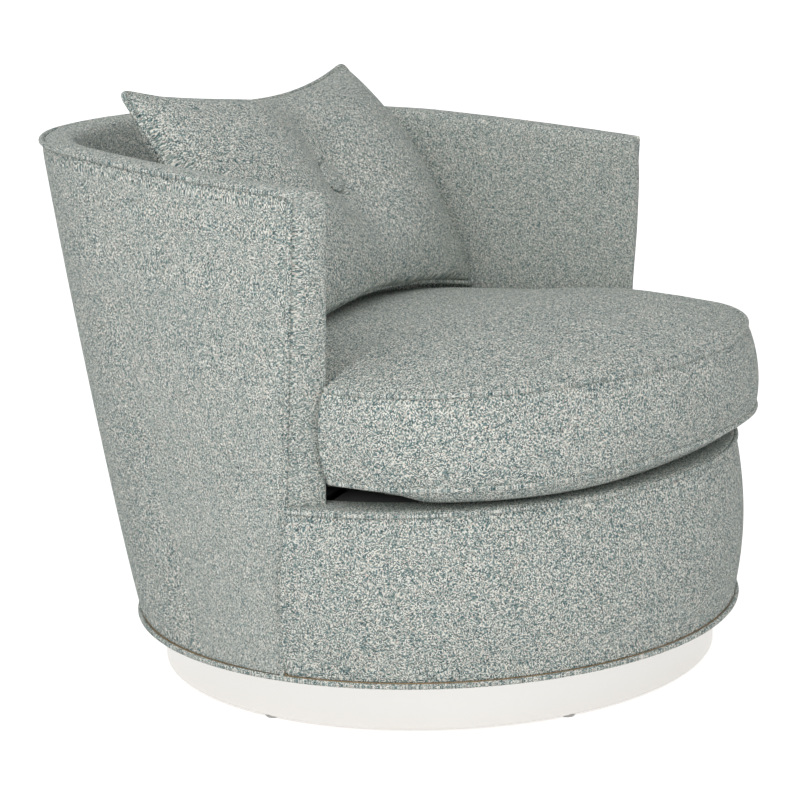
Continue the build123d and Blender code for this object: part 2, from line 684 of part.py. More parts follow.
# --- Deck under the cushion --------------------------------------------------------------------------------
def deck():
    # Interlaced webbing on top of the seat rail and the front board.
    rail_arcs = outer_arcs(low_level(MID_RAIL_TOP), FRAME_DEPTH + 4.0)
    bow = front_arcs(bow_share(MID_RAIL_TOP), BORDER_THICKNESS + 1.5)

    def spread(reach_of, at):
        """Shorter reach of a strip's two edges."""
        return min(abs(reach_of(at - STRAP_WIDTH / 2)), abs(reach_of(at + STRAP_WIDTH / 2)))

    def rail_y(x):
        for (cx, cy, r), limit in zip(rail_arcs, (BACK_HEADING, CORNER_HEADING)):
            if abs(x) <= abs(arc_point((cx, cy, r), limit)[0]):
                return cy + sqrt(r**2 - (abs(x) + cx) ** 2)
        return 0.0

    def rail_x(y):
        cx, cy, r = rail_arcs[1] if y > arc_point(rail_arcs[1], CORNER_HEADING)[1] else rail_arcs[2]
        return -cx + sqrt(r**2 - (y - cy) ** 2)

    def bow_y(x):
        cx, cy, r = bow[0] if abs(x) < abs(front_point(bow[0], FRONT_HEADING)[0]) else bow[1]
        return cy - sqrt(r**2 - (abs(x) + cx) ** 2)

    def bow_x(y):
        cx, cy, r = bow[1]
        return -cx + sqrt(r**2 - (y - cy) ** 2)

    def strap(start, end, crossings, first):
        """Strip profile that passes over and under the strips it crosses."""
        low, high = MID_RAIL_TOP, MID_RAIL_TOP + STRAP_THICKNESS + LAYER_GAP
        half = STRAP_WIDTH / 2 + 6.0
        points = [(start, low)]
        over = first
        for place in sorted(crossings):
            level = high if over else low
            points += [(place - half, level), (place + half, level)]
            if not over:
                points = points[:-2]
            over = not over
        # Ramps between the raised stretches.
        line = [points[0]]
        for place, level in points[1:]:
            line.append((place, level))
        line.append((end, low))
        ramp = 14.0
        shaped = [line[0]]
        for i in range(1, len(line) - 1, 2):
            (a, level), (b, _) = line[i], line[i + 1]
            shaped += [(a - ramp, low), (a, level), (b, level), (b + ramp, low)]
        shaped.append(line[-1])
        top = [(place, level + STRAP_THICKNESS) for place, level in reversed(shaped)]
        return Polyline(*(shaped + top), close=True)

    xs = [(i - 2) * STRAP_PITCH for i in range(5)]
    ys = list(STRAP_ROWS)
    along, across = [], []
    for i, x in enumerate(xs):
        wire = strap(-spread(bow_y, x), spread(rail_y, x), ys, i % 2 == 0)
        face = make_face(Plane.YZ * wire)
        along.append(Pos(x - STRAP_WIDTH / 2, 0, 0) * extrude(face, STRAP_WIDTH, dir=(1, 0, 0)).solid())
    for j, y in enumerate(ys):
        reach = spread(bow_x if y < FRONT_BOARD_Y else rail_x, y)
        wire = strap(-reach, reach, xs, j % 2 == 1)
        face = make_face(Plane.XZ * wire)
        across.append(Pos(0, y - STRAP_WIDTH / 2, 0) * extrude(face, STRAP_WIDTH, dir=(0, 1, 0)).solid())
    save("deck_straps_along", *along)
    save("deck_straps_across", *across)

    # Deck pad, inside the lining and the front border.
    sections = []
    low = MID_RAIL_TOP + 2 * STRAP_THICKNESS + 2 * LAYER_GAP
    for z, inset in ((low, DECK_GAP), (DECK_HEIGHT - 5.0, DECK_GAP), (DECK_HEIGHT - DECK_GAP, 6.0)):
        lined = lining_arcs(low_level(PAD_BOTTOM), -inset)
        back = hoop_edges(lined, front_limit(low_level(z), 1.0))
        front = front_edges(front_arcs(bow_share(low), BORDER_THICKNESS + inset), DECK_EAR_Y)
        front = [edge for edge in reversed(front)]
        left = Line(front[-1] @ 0, back[0] @ 0)
        right = Line(back[-1] @ 1, front[0] @ 1)
        sections.append(Pos(0, 0, z) * Wire(back + [right] + front + [left]))
    save("deck_pad", Solid.make_loft(sections, True))


# --- Seat cushion --------------------------------------------------------------------------------------------------
def cushion_wire(z, side, front, share=1.0, tilt=0.0, inner=0.0):
    """Plan of the cushion: side set in from the lining, front grown, the whole scaled."""
    lined = lining_arcs(low_level(CUSHION_BOTTOM_SEAM), -CUSHION_SIDE_GAP + side)
    ear_y = CUSHION_EAR_Y + front
    turns = [0.0, BACK_HEADING, CORNER_HEADING, end_heading(lined[2], ear_y)]
    step = CUSHION_FRONT_RADIUS - CUSHION_SHOULDER_RADIUS
    reach = CUSHION_SHOULDER_RADIUS * sin(radians(CUSHION_SHOULDER_HEADING))
    bow = asin((CUSHION_EAR_X - reach) / step)
    middle = (0.0, CUSHION_FRONT_Y + CUSHION_FRONT_RADIUS, CUSHION_FRONT_RADIUS + front)
    shoulder = (
        -step * sin(bow),
        middle[1] - step * cos(bow),
        CUSHION_SHOULDER_RADIUS + front,
    )
    edge = front_point(shoulder, CUSHION_SHOULDER_HEADING)
    r = CUSHION_EAR_ROUND
    top = (edge[0] + 2.0, ear_y - r)

    def half(side_of):
        s = side_of
        mid_corner = (BACK_HEADING + CORNER_HEADING) / 2
        points = [arc_point(lined[1], t, s) for t in (BACK_HEADING, mid_corner, CORNER_HEADING)]
        mid_side = (CORNER_HEADING + turns[3]) / 2
        flank = [arc_point(lined[2], t, s) for t in (CORNER_HEADING, mid_side, turns[3])]
        corner = (-s * (top[0] + r), ear_y)
        turn = (-s * (top[0] + r * 0.293), ear_y - r * 0.293)
        ear = (-s * top[0], ear_y - r)
        shoulder_turns = (CUSHION_SHOULDER_HEADING, 42.0, degrees(bow))
        front_arc = [front_point(shoulder, t, s) for t in shoulder_turns]
        return points, flank, corner, turn, ear, front_arc

    def place(p):
        return (p[0] * share, CUSHION_HEART_Y + (p[1] - CUSHION_HEART_Y) * share)

    def edges(side_of):
        points, flank, corner, turn, ear, front_arc = half(side_of)
        return [
            ThreePointArc(*[place(p) for p in points]),
            ThreePointArc(*[place(p) for p in flank]),
            Line(place(flank[-1]), place(corner)),
            ThreePointArc(place(corner), place(turn), place(ear)),
            Line(place(ear), place(front_arc[0])),
            ThreePointArc(*[place(p) for p in front_arc]),
        ]

    right, left = edges(1), edges(-1)
    centre_front = ThreePointArc(right[-1] @ 1, place(front_point(middle, 0.0)), left[-1] @ 1)
    back = ThreePointArc(left[0] @ 0, place(arc_point(lined[0], 0.0)), right[0] @ 0)
    wire = Wire([back] + right + [centre_front] + list(reversed(left)))
    rake = atan(tilt)
    plane = Plane((0, CUSHION_HEART_Y, z), x_dir=(1, 0, 0), z_dir=(0, -sin(rake), cos(rake)))
    return plane * (Pos(0, -CUSHION_HEART_Y, 0) * wire)


def seat_cushion():
    low, high = CUSHION_BOTTOM_SEAM, CUSHION_TOP_SEAM
    draw = -CUSHION_WELT_RADIUS + LAYER_GAP
    crown = CUSHION_CROWN
    body = [
        cushion_wire(DECK_HEIGHT + LAYER_GAP, -34.0, -34.0),
        cushion_wire(DECK_HEIGHT + 9.0, -10.0, -10.0),
        cushion_wire(low, draw, draw),
        cushion_wire((low + high) / 2, 0.0, CUSHION_BULGE),
        cushion_wire(high, draw, draw),
        cushion_wire(high + crown * 0.38, draw, draw, 0.97, -0.012),
        cushion_wire(high + crown * 0.66, draw, draw, 0.88, -0.024),
        cushion_wire(high + crown * 0.88, draw, draw, 0.66, -0.036),
        cushion_wire(high + crown, draw, draw, 0.30, -0.045),
    ]
    save("seat_cushion", Solid.make_loft(body, True))
    r = CUSHION_WELT_RADIUS
    for name, z in (("cushion_top_welt", high), ("cushion_bottom_welt", low)):
        rows = ((-r, 0.0), (-r / 3, r), (r / 3, r), (r, 0.0))
        shell = Solid.make_loft([cushion_wire(z + dz, out, out) for dz, out in rows], True)
        hole = draw + 0.9
        core = Solid.make_loft([cushion_wire(z + dz, hole, hole) for dz in (-2 * r, 2 * r)], True)
        save(name, (shell - core).solid())

    # Zipper tape sewn across the back of the boxing.
    lined = lining_arcs(low_level(low), -CUSHION_SIDE_GAP)[0]
    cx, cy, radius = lined
    half = degrees(ZIPPER_LENGTH / 2 / radius)
    edges = []
    for offset in (LAYER_GAP, 1.6):
        arc = (cx, cy, radius + offset)
        edges.append([arc_point(arc, half), arc_point(arc, 0.0), arc_point(arc, half, 1)])
    (a, b, c), (d, e, f) = edges
    wire = Wire([ThreePointArc(a, b, c), Line(c, f), ThreePointArc(f, e, d), Line(d, a)])
    tape = extrude(make_face(wire), ZIPPER_HEIGHT)
    save("cushion_zipper", (Pos(0, 0, (low + high - ZIPPER_HEIGHT) / 2) * tape).solid())


# --- Pillow -----------------------------------------------------------------------------------------------------------
def pillow_plane():
    turn, lean, roll = radians(PILLOW_TURN), radians(PILLOW_LEAN), radians(PILLOW_ROLL)
    across = Vector(cos(turn), sin(turn), 0)
    ahead = Vector(sin(turn), -cos(turn), 0)
    normal = ahead * cos(lean) + Vector(0, 0, 1) * sin(lean)
    up = normal.cross(across)
    x_dir = across * cos(roll) + up * sin(roll)
    return Plane(PILLOW_CENTRE, x_dir=x_dir, z_dir=normal)


def pillow_wire(n, level=0.0, grow=0.0):
    """Outline at a distance n from the seam: drawn-in oblong at the seam, rounder as level rises."""
    w, h = PILLOW_HALF_WIDTH + grow, PILLOW_HALF_HEIGHT + grow

    def spot(x, y):
        a = x * (w - PILLOW_SIDE_DRAW * (1.0 - y**2))
        b = y * (h - PILLOW_TOP_DRAW * (1.0 - x**2))
        return (a, b)

    middle = sqrt(1.0 - level**2)
    if level:
        turn = middle * 0.75
        side = top = (sqrt(1.0 - level**2 / (1.0 - turn**2)), turn)
        corner = sqrt(1.0 - level)
        corner = (corner, corner)
    else:
        across, up = (PILLOW_CORNER + grow) / w, (PILLOW_CORNER + grow) / h
        side, top = (1.0, 1.0 - up), (1.0, 1.0 - across)
        corner = (1.0 - across * 0.293, 1.0 - up * 0.293)
    edges = []
    for i in (1, -1):
        starts = (spot(i * side[0], -i * side[1]), spot(i * side[0], i * side[1]))
        ends = (spot(i * top[1], i * top[0]), spot(-i * top[1], i * top[0]))
        far = spot(-i * side[0], i * side[1])
        edges.append(ThreePointArc(starts[0], spot(i * middle, 0), starts[1]))
        edges.append(ThreePointArc(starts[1], spot(i * corner[0], i * corner[1]), ends[0]))
        edges.append(ThreePointArc(ends[0], spot(0, i * middle), ends[1]))
        edges.append(ThreePointArc(ends[1], spot(-i * corner[0], i * corner[1]), far))
    return Pos(0, 0, n) * Wire(edges)


def pillow():
    place = pillow_plane()
    t = PILLOW_HALF_THICKNESS
    foot = BUTTON_LEVEL - BUTTON_HEIGHT
    levels = (0.93, 0.78, 0.55, 0.28)
    seam = pillow_wire(0.0, 0.0, LAYER_GAP - PILLOW_WELT_RADIUS)
    below = [pillow_wire(-t * level, level) for level in levels]
    above = [pillow_wire(t * level, level) for level in reversed(levels)]
    body = Solid.make_loft(below + [seam] + above, True)
    # Well that each button draws into its face.
    well = Cone(BUTTON_RADIUS + 2.0, BUTTON_DIMPLE_RADIUS, t - foot + LAYER_GAP)
    well = Pos(0, 0, (t + foot - LAYER_GAP) / 2) * well
    body = body - well - Rot(180, 0, 0) * well
    save("pillow", (place * body).solid())

    r = PILLOW_WELT_RADIUS
    rows = ((-r, 0.0), (-r / 3, r), (r / 3, r), (r, 0.0))
    shell = Solid.make_loft([place * pillow_wire(n, 0.0, grow) for n, grow in rows], True)
    inner = -r + 1.6
    core = Solid.make_loft([place * pillow_wire(n, 0.0, inner) for n in (-2 * r, 2 * r)], True)
    save("pillow_welt", (shell - core).solid())

    half, rim = BUTTON_RADIUS, BUTTON_HEIGHT / 3
    rise = BUTTON_HEIGHT - rim
    dome = (half**2 + rise**2) / (2 * rise)
    button = Pos(0, 0, BUTTON_HEIGHT - dome) * Sphere(dome)
    button &= Pos(0, 0, BUTTON_HEIGHT / 2) * Cylinder(half, BUTTON_HEIGHT)
    button = button.solid()
    front = place * (Pos(0, 0, foot) * button)
    back = place * (Pos(0, 0, -foot) * (Rot(180, 0, 0) * button))
    save("pillow_buttons", front, back)


plinth()
swivel()
frame()
shell()
arm_fronts()
border()
deck()
seat_cushion()
pillow()
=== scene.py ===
"""Looks of the swivel barrel chair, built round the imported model.

Millimetres until a mesh is made, then metres. +Z up, front towards -Y, swivel axis at x = y = 0.
"""

from math import acos, asin, atan, cos, degrees, pi, radians, sin  # noqa: E402

import bmesh  # noqa: E402
import bpy  # noqa: E402
import numpy as np  # noqa: E402
from bpy.props import FloatProperty, FloatVectorProperty, PointerProperty  # noqa: E402
from mathutils import Matrix, Vector  # noqa: E402


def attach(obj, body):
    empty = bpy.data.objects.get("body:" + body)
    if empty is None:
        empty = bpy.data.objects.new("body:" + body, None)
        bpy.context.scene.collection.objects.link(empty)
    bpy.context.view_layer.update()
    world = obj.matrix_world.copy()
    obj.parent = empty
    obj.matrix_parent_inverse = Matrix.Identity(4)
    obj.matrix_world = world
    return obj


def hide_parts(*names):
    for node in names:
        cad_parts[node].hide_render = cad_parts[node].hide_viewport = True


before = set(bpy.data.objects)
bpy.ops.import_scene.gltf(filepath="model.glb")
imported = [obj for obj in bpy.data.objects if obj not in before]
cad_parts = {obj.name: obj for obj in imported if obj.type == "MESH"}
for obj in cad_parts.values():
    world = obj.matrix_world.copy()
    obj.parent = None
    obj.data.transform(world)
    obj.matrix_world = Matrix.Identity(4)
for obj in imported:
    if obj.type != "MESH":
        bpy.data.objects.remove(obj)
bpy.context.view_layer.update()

bl_info = {
    "name": "Swivel barrel chair",
    "version": (1, 0, 0),
    "blender": (4, 5, 0),
    "location": "View3D > Sidebar > Barrel Chair",
    "description": "Upholstery, metal and studio for the swivel barrel chair",
    "category": "Object",
}

MM = 0.001

# --- Sizes shared with the solids ---------------------------------------------------------------
# Shell: its round base, the headings where arcs meet, the raked rim and its sag at the back.
BASE_RADIUS = 415.0
BACK_HEADING, CORNER_HEADING, FRONT_HEADING = 20.0, 79.0, 47.9
RIM_AT_AXIS, RIM_RISE, HOOP_BASE = 678.5, 0.112, 75.0
RIM_BACK = BASE_RADIUS + 84.0
RIM_SAG, SAG_FROM, SAG_OVER = 4.0, 260.0, 140.0
WALL = 46.0
WALL_SPAN = RIM_AT_AXIS - HOOP_BASE
# Front ends of the wall, at the base and at the rim: place, and sweep forwards from out to in.
FRONT_OUT, FRONT_SWEEP = (-50.0, -102.5), (48.0, 20.0)
WELT = 4.0
# Cloth beside an upright welt stops this far from the middle of the welt.
SEAM_GAP = WELT * 0.45
DECK = 291.0
PLINTH_RADIUS, PLINTH_LOW, BAND = 383.0, 4.0, 1.2
# Cushion: heights of its seams, the point that its rings shrink towards, and its ears.
SEAM_LOW, SEAM_HIGH, HEART_Y = 322.0, 434.0, -60.0
EAR_X, EAR_Y, EAR_ROUND, EAR_BACK = 389.0, -122.0, 9.0, 11.0
SIDE_GAP = 15.0
CUSHION_WELT = 3.5
ZIPPER_LENGTH = 310.0
# Pillow: its middle, its turns in degrees, its half sizes, and how far its sides draw in.
PILLOW_CENTRE = (9.5, 193.7, 624.04)
PILLOW_TURN, PILLOW_LEAN, PILLOW_ROLL = 11.35, 33.2, 0.4
PILLOW_WIDE, PILLOW_HIGH = 332.0, 193.5
PILLOW_SIDE_DRAW, PILLOW_TOP_DRAW, PILLOW_FOOT_DRAW = 6.0, 43.0, 29.0
PILLOW_WELT = 3.5
BUTTON_FOOT = 29.5


# --- Settings -----------------------------------------------------------------------------------
def colour_setting(name, description, default):
    return FloatVectorProperty(
        name=name, description=description, subtype="COLOR", size=3, min=0.0, max=1.0,
        default=default,
    )


def length_setting(name, description, default, top=0.1):
    return FloatProperty(
        name=name, description=description, default=default, min=0.0, max=top,
        unit="LENGTH", precision=4,
    )


def share_setting(name, description, default, top=1.0):
    return FloatProperty(
        name=name, description=description, default=default, min=0.0, max=top, subtype="FACTOR"
    )


def lamp_setting(name, description, default):
    return FloatProperty(
        name=name, description=description, default=default, min=0.0, max=400.0, unit="POWER"
    )


class ClothSettings(bpy.types.PropertyGroup):
    base: colour_setting("Ground yarn", "Grey green yarn of the tweed", (0.44, 0.47, 0.44))
    teal: colour_setting("Teal yarn", "Dull teal yarn", (0.19, 0.29, 0.29))
    dark: colour_setting("Dark yarn", "Dark teal specks", (0.035, 0.085, 0.095))
    cream: colour_setting("Cream yarn", "Light yarn, the commonest", (0.93, 0.92, 0.86))
    rose: colour_setting("Rose yarn", "Few warm specks", (0.66, 0.56, 0.50))
    pitch: length_setting("Yarn pitch", "Distance from one yarn to the next", 0.00122, 0.01)
    relief: length_setting("Yarn relief", "Height of the yarns", 0.0006, 0.004)
    # The deck cloth is set near-black: dark cloth, and painted shade of the gap under the cushion
    # as well.
    deck: colour_setting("Deck cloth", "Dark cloth under the cushion", (0.004, 0.004, 0.0045))


class ShellSettings(bpy.types.PropertyGroup):
    crown: length_setting("Rim crown", "Rise of the padding on top of the wall", 0.0055, 0.02)
    roll: length_setting("Rim roll", "Padding that rolls over the inner edge", 0.024, 0.04)
    welt: length_setting("Welt radius", "Radius of the corded seams", 0.0034, 0.006)
    tuck: length_setting("Seam tuck", "How far cloth dips into a seam", 0.0022, 0.006)


class CushionSettings(bpy.types.PropertyGroup):
    crown: length_setting("Crown", "Rise of the top above its seam", 0.0385, 0.05)
    bulge: length_setting("Front bulge", "Swell of the front between the seams", 0.011, 0.02)
    side: length_setting("Side bulge", "Swell of the flanks between the seams", 0.007, 0.012)
    fill: share_setting("Fill", "How tightly it is stuffed", 0.75)


class PillowSettings(bpy.types.PropertyGroup):
    plump: length_setting("Half thickness", "From the seam to the face", 0.0945, 0.12)
    fill: share_setting("Fill", "How tightly it is stuffed", 0.6)


class MetalSettings(bpy.types.PropertyGroup):
    steel: colour_setting("Band", "Polished band of the plinth", (0.66, 0.65, 0.63))
    rough: share_setting("Band roughness", "Blur of its reflections", 0.24)


class StudioSettings(bpy.types.PropertyGroup):
    floor: colour_setting("Floor", "Plain pale floor", (0.86, 0.86, 0.86))
    world: share_setting("Fill light", "Level of the light from all round", 0.46, 2.0)
    key: lamp_setting("Key lamp", "Power of the lamp at the front left", 37.0)
    side: lamp_setting("Side lamp", "Power of the higher lamp at the left", 22.0)


def settings(group):
    return getattr(bpy.context.scene, "chair_" + group)


# --- Shader graphs ------------------------------------------------------------------------------
class Signal:
    """A shader socket. Arithmetic on it adds Math nodes."""

    def __init__(self, graph, socket):
        self.graph, self.socket = graph, socket

    def maths(self, operation, first, second=None):
        inputs = {0: first} if second is None else {0: first, 1: second}
        return self.graph.node("ShaderNodeMath", {"operation": operation}, inputs)

    def __add__(self, other):
        return self.maths("ADD", self, other)

    def __radd__(self, other):
        return self.maths("ADD", other, self)

    def __mul__(self, other):
        return self.maths("MULTIPLY", self, other)

    def __rmul__(self, other):
        return self.maths("MULTIPLY", other, self)

    def __pow__(self, other):
        return self.maths("POWER", self, other)

    def __mod__(self, other):
        return self.maths("FLOORED_MODULO", self, other)

    def __lt__(self, other):
        return self.maths("LESS_THAN", self, other)

    def __abs__(self):
        return self.maths("ABSOLUTE", self)

    def floor(self):
        return self.maths("FLOOR", self)

    def sin(self):
        return self.maths("SINE", self)


class Graph:
    """A material's nodes, added one call at a time."""

    def __init__(self, name):
        self.material = bpy.data.materials.new(name)
        self.material.use_nodes = True
        self.nodes = self.material.node_tree.nodes
        self.links = self.material.node_tree.links
        self.nodes.clear()

    def node(self, kind, options=None, inputs=None, output=0):
        """Add a node: its settings first, then the values or links of its sockets."""
        made = self.nodes.new(kind)
        for key, value in (options or {}).items():
            if key == "stops":
                ramp = made.color_ramp
                while len(ramp.elements) < len(value):
                    ramp.elements.new(1.0)
                for element, (place, colour) in zip(ramp.elements, value):
                    element.position = place
                    element.color = (*colour, 1.0)
            elif key == "interpolation":
                made.color_ramp.interpolation = value
            else:
                setattr(made, key, value)
        for key, value in (inputs or {}).items():
            socket = made.inputs[key]
            if isinstance(value, Signal):
                self.links.new(value.socket, socket)
            elif hasattr(value, "__len__") and len(value) == 3 and socket.type == "RGBA":
                socket.default_value = (*value, 1.0)
            else:
                socket.default_value = value
        return Signal(self, made.outputs[output]) if len(made.outputs) else None

    def blend(self, share, first, second, kind="MIX"):
        return self.node(
            "ShaderNodeMix",
            {"data_type": "RGBA", "blend_type": kind, "clamp_factor": True},
            {0: share, 6: first, 7: second},
            2,
        )

    def noise(self, where, scale, detail=2.0, rough=0.5):
        return self.node(
            "ShaderNodeTexNoise", {},
            {"Vector": where, "Scale": scale, "Detail": detail, "Roughness": rough},
        )

    def place(self):
        """Where a point is, in the coordinates of its object."""
        return self.node("ShaderNodeTexCoord", {}, {}, 3)

    def split(self, vector):
        """The three parts of a vector."""
        parts = self.node("ShaderNodeSeparateXYZ", {}, {0: vector}).socket.node.outputs
        return [Signal(self, part) for part in parts]

    def bump(self, strength, distance, height):
        return self.node(
            "ShaderNodeBump", {}, {"Strength": strength, "Distance": distance, "Height": height}
        )

    def surface(self, **inputs):
        """The material, from values or signals named as the sockets are, with underscores."""
        names = {key.replace("_", " "): value for key, value in inputs.items()}
        shader = self.node("ShaderNodeBsdfPrincipled", {}, names)
        self.node("ShaderNodeOutputMaterial", {}, {"Surface": shader})
        return self.material


def toned(colour, tone):
    return tuple(channel * tone for channel in colour)


# How far the yarns of the tweed stray, in yarns, and the scales of that straying.
YARN_STRAY, STRAY_ACROSS, STRAY_UP = 1.2, 160.0, 95.0
# What picks a yarn's colour: the crossing itself, its clump of four, and the line of the twill.
PICK_SHARE, CLUMP_SHARE, TWILL_SHARE = 0.90, 0.04, 0.06


def tweed(name):
    """Heathered tweed: one colour for each yarn crossing, in weave coordinates."""
    cloth = settings("cloth")
    g = Graph(name)
    weave = g.node("ShaderNodeAttribute", {"attribute_name": "weave"}, {}, 1)
    across, up, panel = g.split(weave)
    wander = g.noise(weave, STRAY_ACROSS)
    drift = g.noise(weave, STRAY_UP)
    p = across * (1 / cloth.pitch) + wander * YARN_STRAY
    q = up * (1 / cloth.pitch) + drift * YARN_STRAY
    # The last number of a cell keeps the panels apart.
    cell = g.node("ShaderNodeCombineXYZ", {}, {0: p.floor(), 1: q.floor(), 2: panel * 91.7})
    pick = g.node("ShaderNodeTexWhiteNoise", {"noise_dimensions": "3D"}, {"Vector": cell})
    slub = g.node(
        "ShaderNodeCombineXYZ", {},
        {0: (p * 0.5).floor(), 1: (q * 0.5 + 0.5).floor(), 2: panel * 37.1 + 5.0},
    )
    clump = g.node("ShaderNodeTexWhiteNoise", {"noise_dimensions": "3D"}, {"Vector": slub})
    twill = ((p.floor() + q.floor()) % 4.0) < 2.0
    share = pick * PICK_SHARE + clump * CLUMP_SHARE + twill * TWILL_SHARE
    stops = [(0.0, cloth.dark), (0.20, cloth.teal), (0.42, cloth.base), (0.62, cloth.cream),
             (0.90, cloth.rose)]
    yarn = g.node(
        "ShaderNodeValToRGB", {"stops": stops, "interpolation": "CONSTANT"}, {0: share}
    )
    heather = g.noise(weave, 30.0, 3.0)
    tint = g.blend(heather, (0.93, 0.96, 0.97), (1.06, 1.03, 1.0))
    colour = g.blend(1.0, yarn, tint, "MULTIPLY")
    rise = abs((p * pi).sin() * (q * pi).sin()) ** 0.6
    return g.surface(
        Base_Color=colour, Roughness=0.86 + 0.1 * pick, Specular_IOR_Level=0.2,
        Normal=g.bump(0.25, cloth.relief, rise + pick * 0.5),
    )


def plain_cloth(name, colour, scale=900.0):
    g = Graph(name)
    where = g.place()
    fine = g.noise(where, scale, 3.0)
    wide = g.noise(where, 25.0)
    return g.surface(
        Base_Color=g.blend(wide, toned(colour, 0.75), toned(colour, 1.25)),
        Roughness=0.88 + 0.1 * fine, Normal=g.bump(0.3, 0.0004, fine), Specular_IOR_Level=0.02,
    )


def wood(name, light, dark, along):
    """Plywood and board: streaks along one way, with fine pores."""
    g = Graph(name)
    stretch = {"X": (3.0, 60.0, 60.0), "Z": (60.0, 60.0, 3.0)}[along]
    laid = g.node("ShaderNodeMapping", {}, {"Vector": g.place(), "Scale": stretch})
    grain = g.noise(laid, 3.0, 6.0, 0.65)
    pores = g.noise(laid, 22.0, 3.0)
    colour = g.node(
        "ShaderNodeValToRGB", {"stops": [(0.25, dark), (0.72, light)]},
        {0: grain * 0.75 + pores * 0.25},
    )
    return g.surface(Base_Color=colour, Roughness=0.55 + 0.25 * grain,
                     Normal=g.bump(0.15, 0.0004, pores))


def metal(name, colour, rough, brushed):
    """Metal with faint smears and lines brushed round it."""
    g = Graph(name)
    where = g.place()
    laid = g.node("ShaderNodeMapping", {}, {"Vector": where, "Scale": (1.0, 1.0, 90.0)})
    lines = g.noise(laid, 14.0, 4.0, 0.6)
    smears = g.noise(where, 7.0, 3.0)
    return g.surface(
        Base_Color=g.blend(smears, toned(colour, 0.97), colour), Metallic=1.0,
        Roughness=rough + 0.10 * smears + 0.04 * lines, Normal=g.bump(brushed, 0.0001, lines),
    )


def plastic(name, colour, rough):
    g = Graph(name)
    where = g.place()
    grain = g.noise(where, 700.0)
    wide = g.noise(where, 40.0)
    return g.surface(
        Base_Color=g.blend(wide, toned(colour, 0.9), toned(colour, 1.1)),
        Roughness=rough + 0.12 * grain, Normal=g.bump(0.2, 0.0002, grain),
    )


def webbing(name):
    """Ribbed jute webbing, darker between its ribs: painted shade in the grooves, following their
    relief.
    """
    g = Graph(name)
    where = g.place()
    x, y, _ = g.split(where)
    ribs = abs((x * (pi / 0.0024)).sin() * (y * (pi / 0.0024)).sin())
    mottle = g.noise(where, 260.0, 3.0)
    # Low parts of the ribs get the dark stop: painted shade in the grooves. The mottle is the
    # jute's own tone.
    colour = g.node(
        "ShaderNodeValToRGB",
        {"stops": [(0.2, (0.20, 0.14, 0.08)), (0.8, (0.50, 0.39, 0.24))]},
        {0: ribs * 0.5 + mottle * 0.6},
    )
    return g.surface(Base_Color=colour, Roughness=0.85 + 0.1 * mottle,
                     Normal=g.bump(0.4, 0.0005, ribs))


# Finishes without a setting of their own: what makes them, and from what.
FIXED_LOOKS = {
    "zipper_tape": (plain_cloth, (0.16, 0.19, 0.18), 1500.0),
    "webbing": (webbing,),
    "glide_plastic": (plastic, (0.55, 0.54, 0.52), 0.45),
    "cage_plastic": (plastic, (0.62, 0.60, 0.52), 0.38),
    "swivel_steel": (metal, (0.36, 0.37, 0.38), 0.34, 0.3),
    "bolt_steel": (metal, (0.60, 0.58, 0.52), 0.28, 0.1),
    "ball_steel": (metal, (0.72, 0.72, 0.73), 0.10, 0.0),
    "ply": (wood, (0.62, 0.46, 0.28), (0.40, 0.26, 0.13), "X"),
    "upright_wood": (wood, (0.60, 0.47, 0.30), (0.38, 0.27, 0.15), "Z"),
}


def finish(name):
    """A finish by name, made the first time it is asked for."""
    found = bpy.data.materials.get(name)
    if found:
        return found
    if name.endswith("_tweed"):
        return tweed(name)
    # Near-black deck: dark cloth, with painted shade of the gap under the cushion in its colour.
    if name == "deck_cloth":
        return plain_cloth(name, tuple(settings("cloth").deck))
    if name == "plinth_steel":
        steel = settings("metal")
        return metal(name, tuple(steel.steel), steel.rough, 0.15)
    make, *values = FIXED_LOOKS[name]
    return make(name, *values)


# --- Outlines of the shell ----------------------------------------------------------------------
def chain(back_y, back, corner, side):
    """Back, corner and side arcs, as centre x, centre y and radius, each tangent to the last."""
    arcs = [(0.0, back_y - back, back)]
    for heading, radius in ((BACK_HEADING, corner), (CORNER_HEADING, side)):
        x, y, last = arcs[-1]
        turn = radians(heading)
        arcs.append((x - (last - radius) * sin(turn), y + (last - radius) * cos(turn), radius))
    return np.array(arcs)


# Radii of the back, the corners and the sides, in base radii: of the rim, and of the lining's foot.
RIM_ARCS, LINING_ARCS = (1.542, 0.673, 3.012), (1.157, 0.747, 2.41)
LINING_IN = 87
BASE_HOOP = np.array([(0.0, 0.0, BASE_RADIUS)] * 3)
RIM_HOOP = chain(RIM_BACK, *(share * BASE_RADIUS for share in RIM_ARCS))
LINING_HOOP = chain(BASE_RADIUS - LINING_IN, *(share * BASE_RADIUS for share in LINING_ARCS))
RIM_LINING = RIM_HOOP - np.array([0.0, 0.0, WALL])


def wall_arcs(level, share):
    """Arcs of the wall at a level from the base to the rim, from outside to lining."""
    out = (1 - level) * BASE_HOOP + level * RIM_HOOP
    lined = (1 - level) * LINING_HOOP + level * RIM_LINING
    return (1 - share) * out + share * lined


def arc_points(arc, headings, side, way=1.0):
    """Points of an arc at headings from the middle of the back; side is -1 for the left."""
    turns = np.radians(headings)
    return np.stack(
        [-side * (arc[0] - arc[2] * np.sin(turns)), arc[1] + way * arc[2] * np.cos(turns)], 1
    )


def front_points(arc, headings, side):
    """The same, from the middle of the front."""
    return arc_points(arc, headings, side, -1.0)


def front_limit(level, share):
    """Where the wall ends at the front, from its outside to its lining."""
    (low, high), (sweep_low, sweep_high) = FRONT_OUT, FRONT_SWEEP
    return (1 - level) * low + level * high - share * ((1 - level) * sweep_low
                                                       + level * sweep_high)


# Shares of the way from a front end of the wall to its corner, closer together near the seam.
END_STEPS = (0.0, 0.035, 0.10, 0.20, 0.32, 0.45, 0.60, 0.75, 0.88, 1.0)


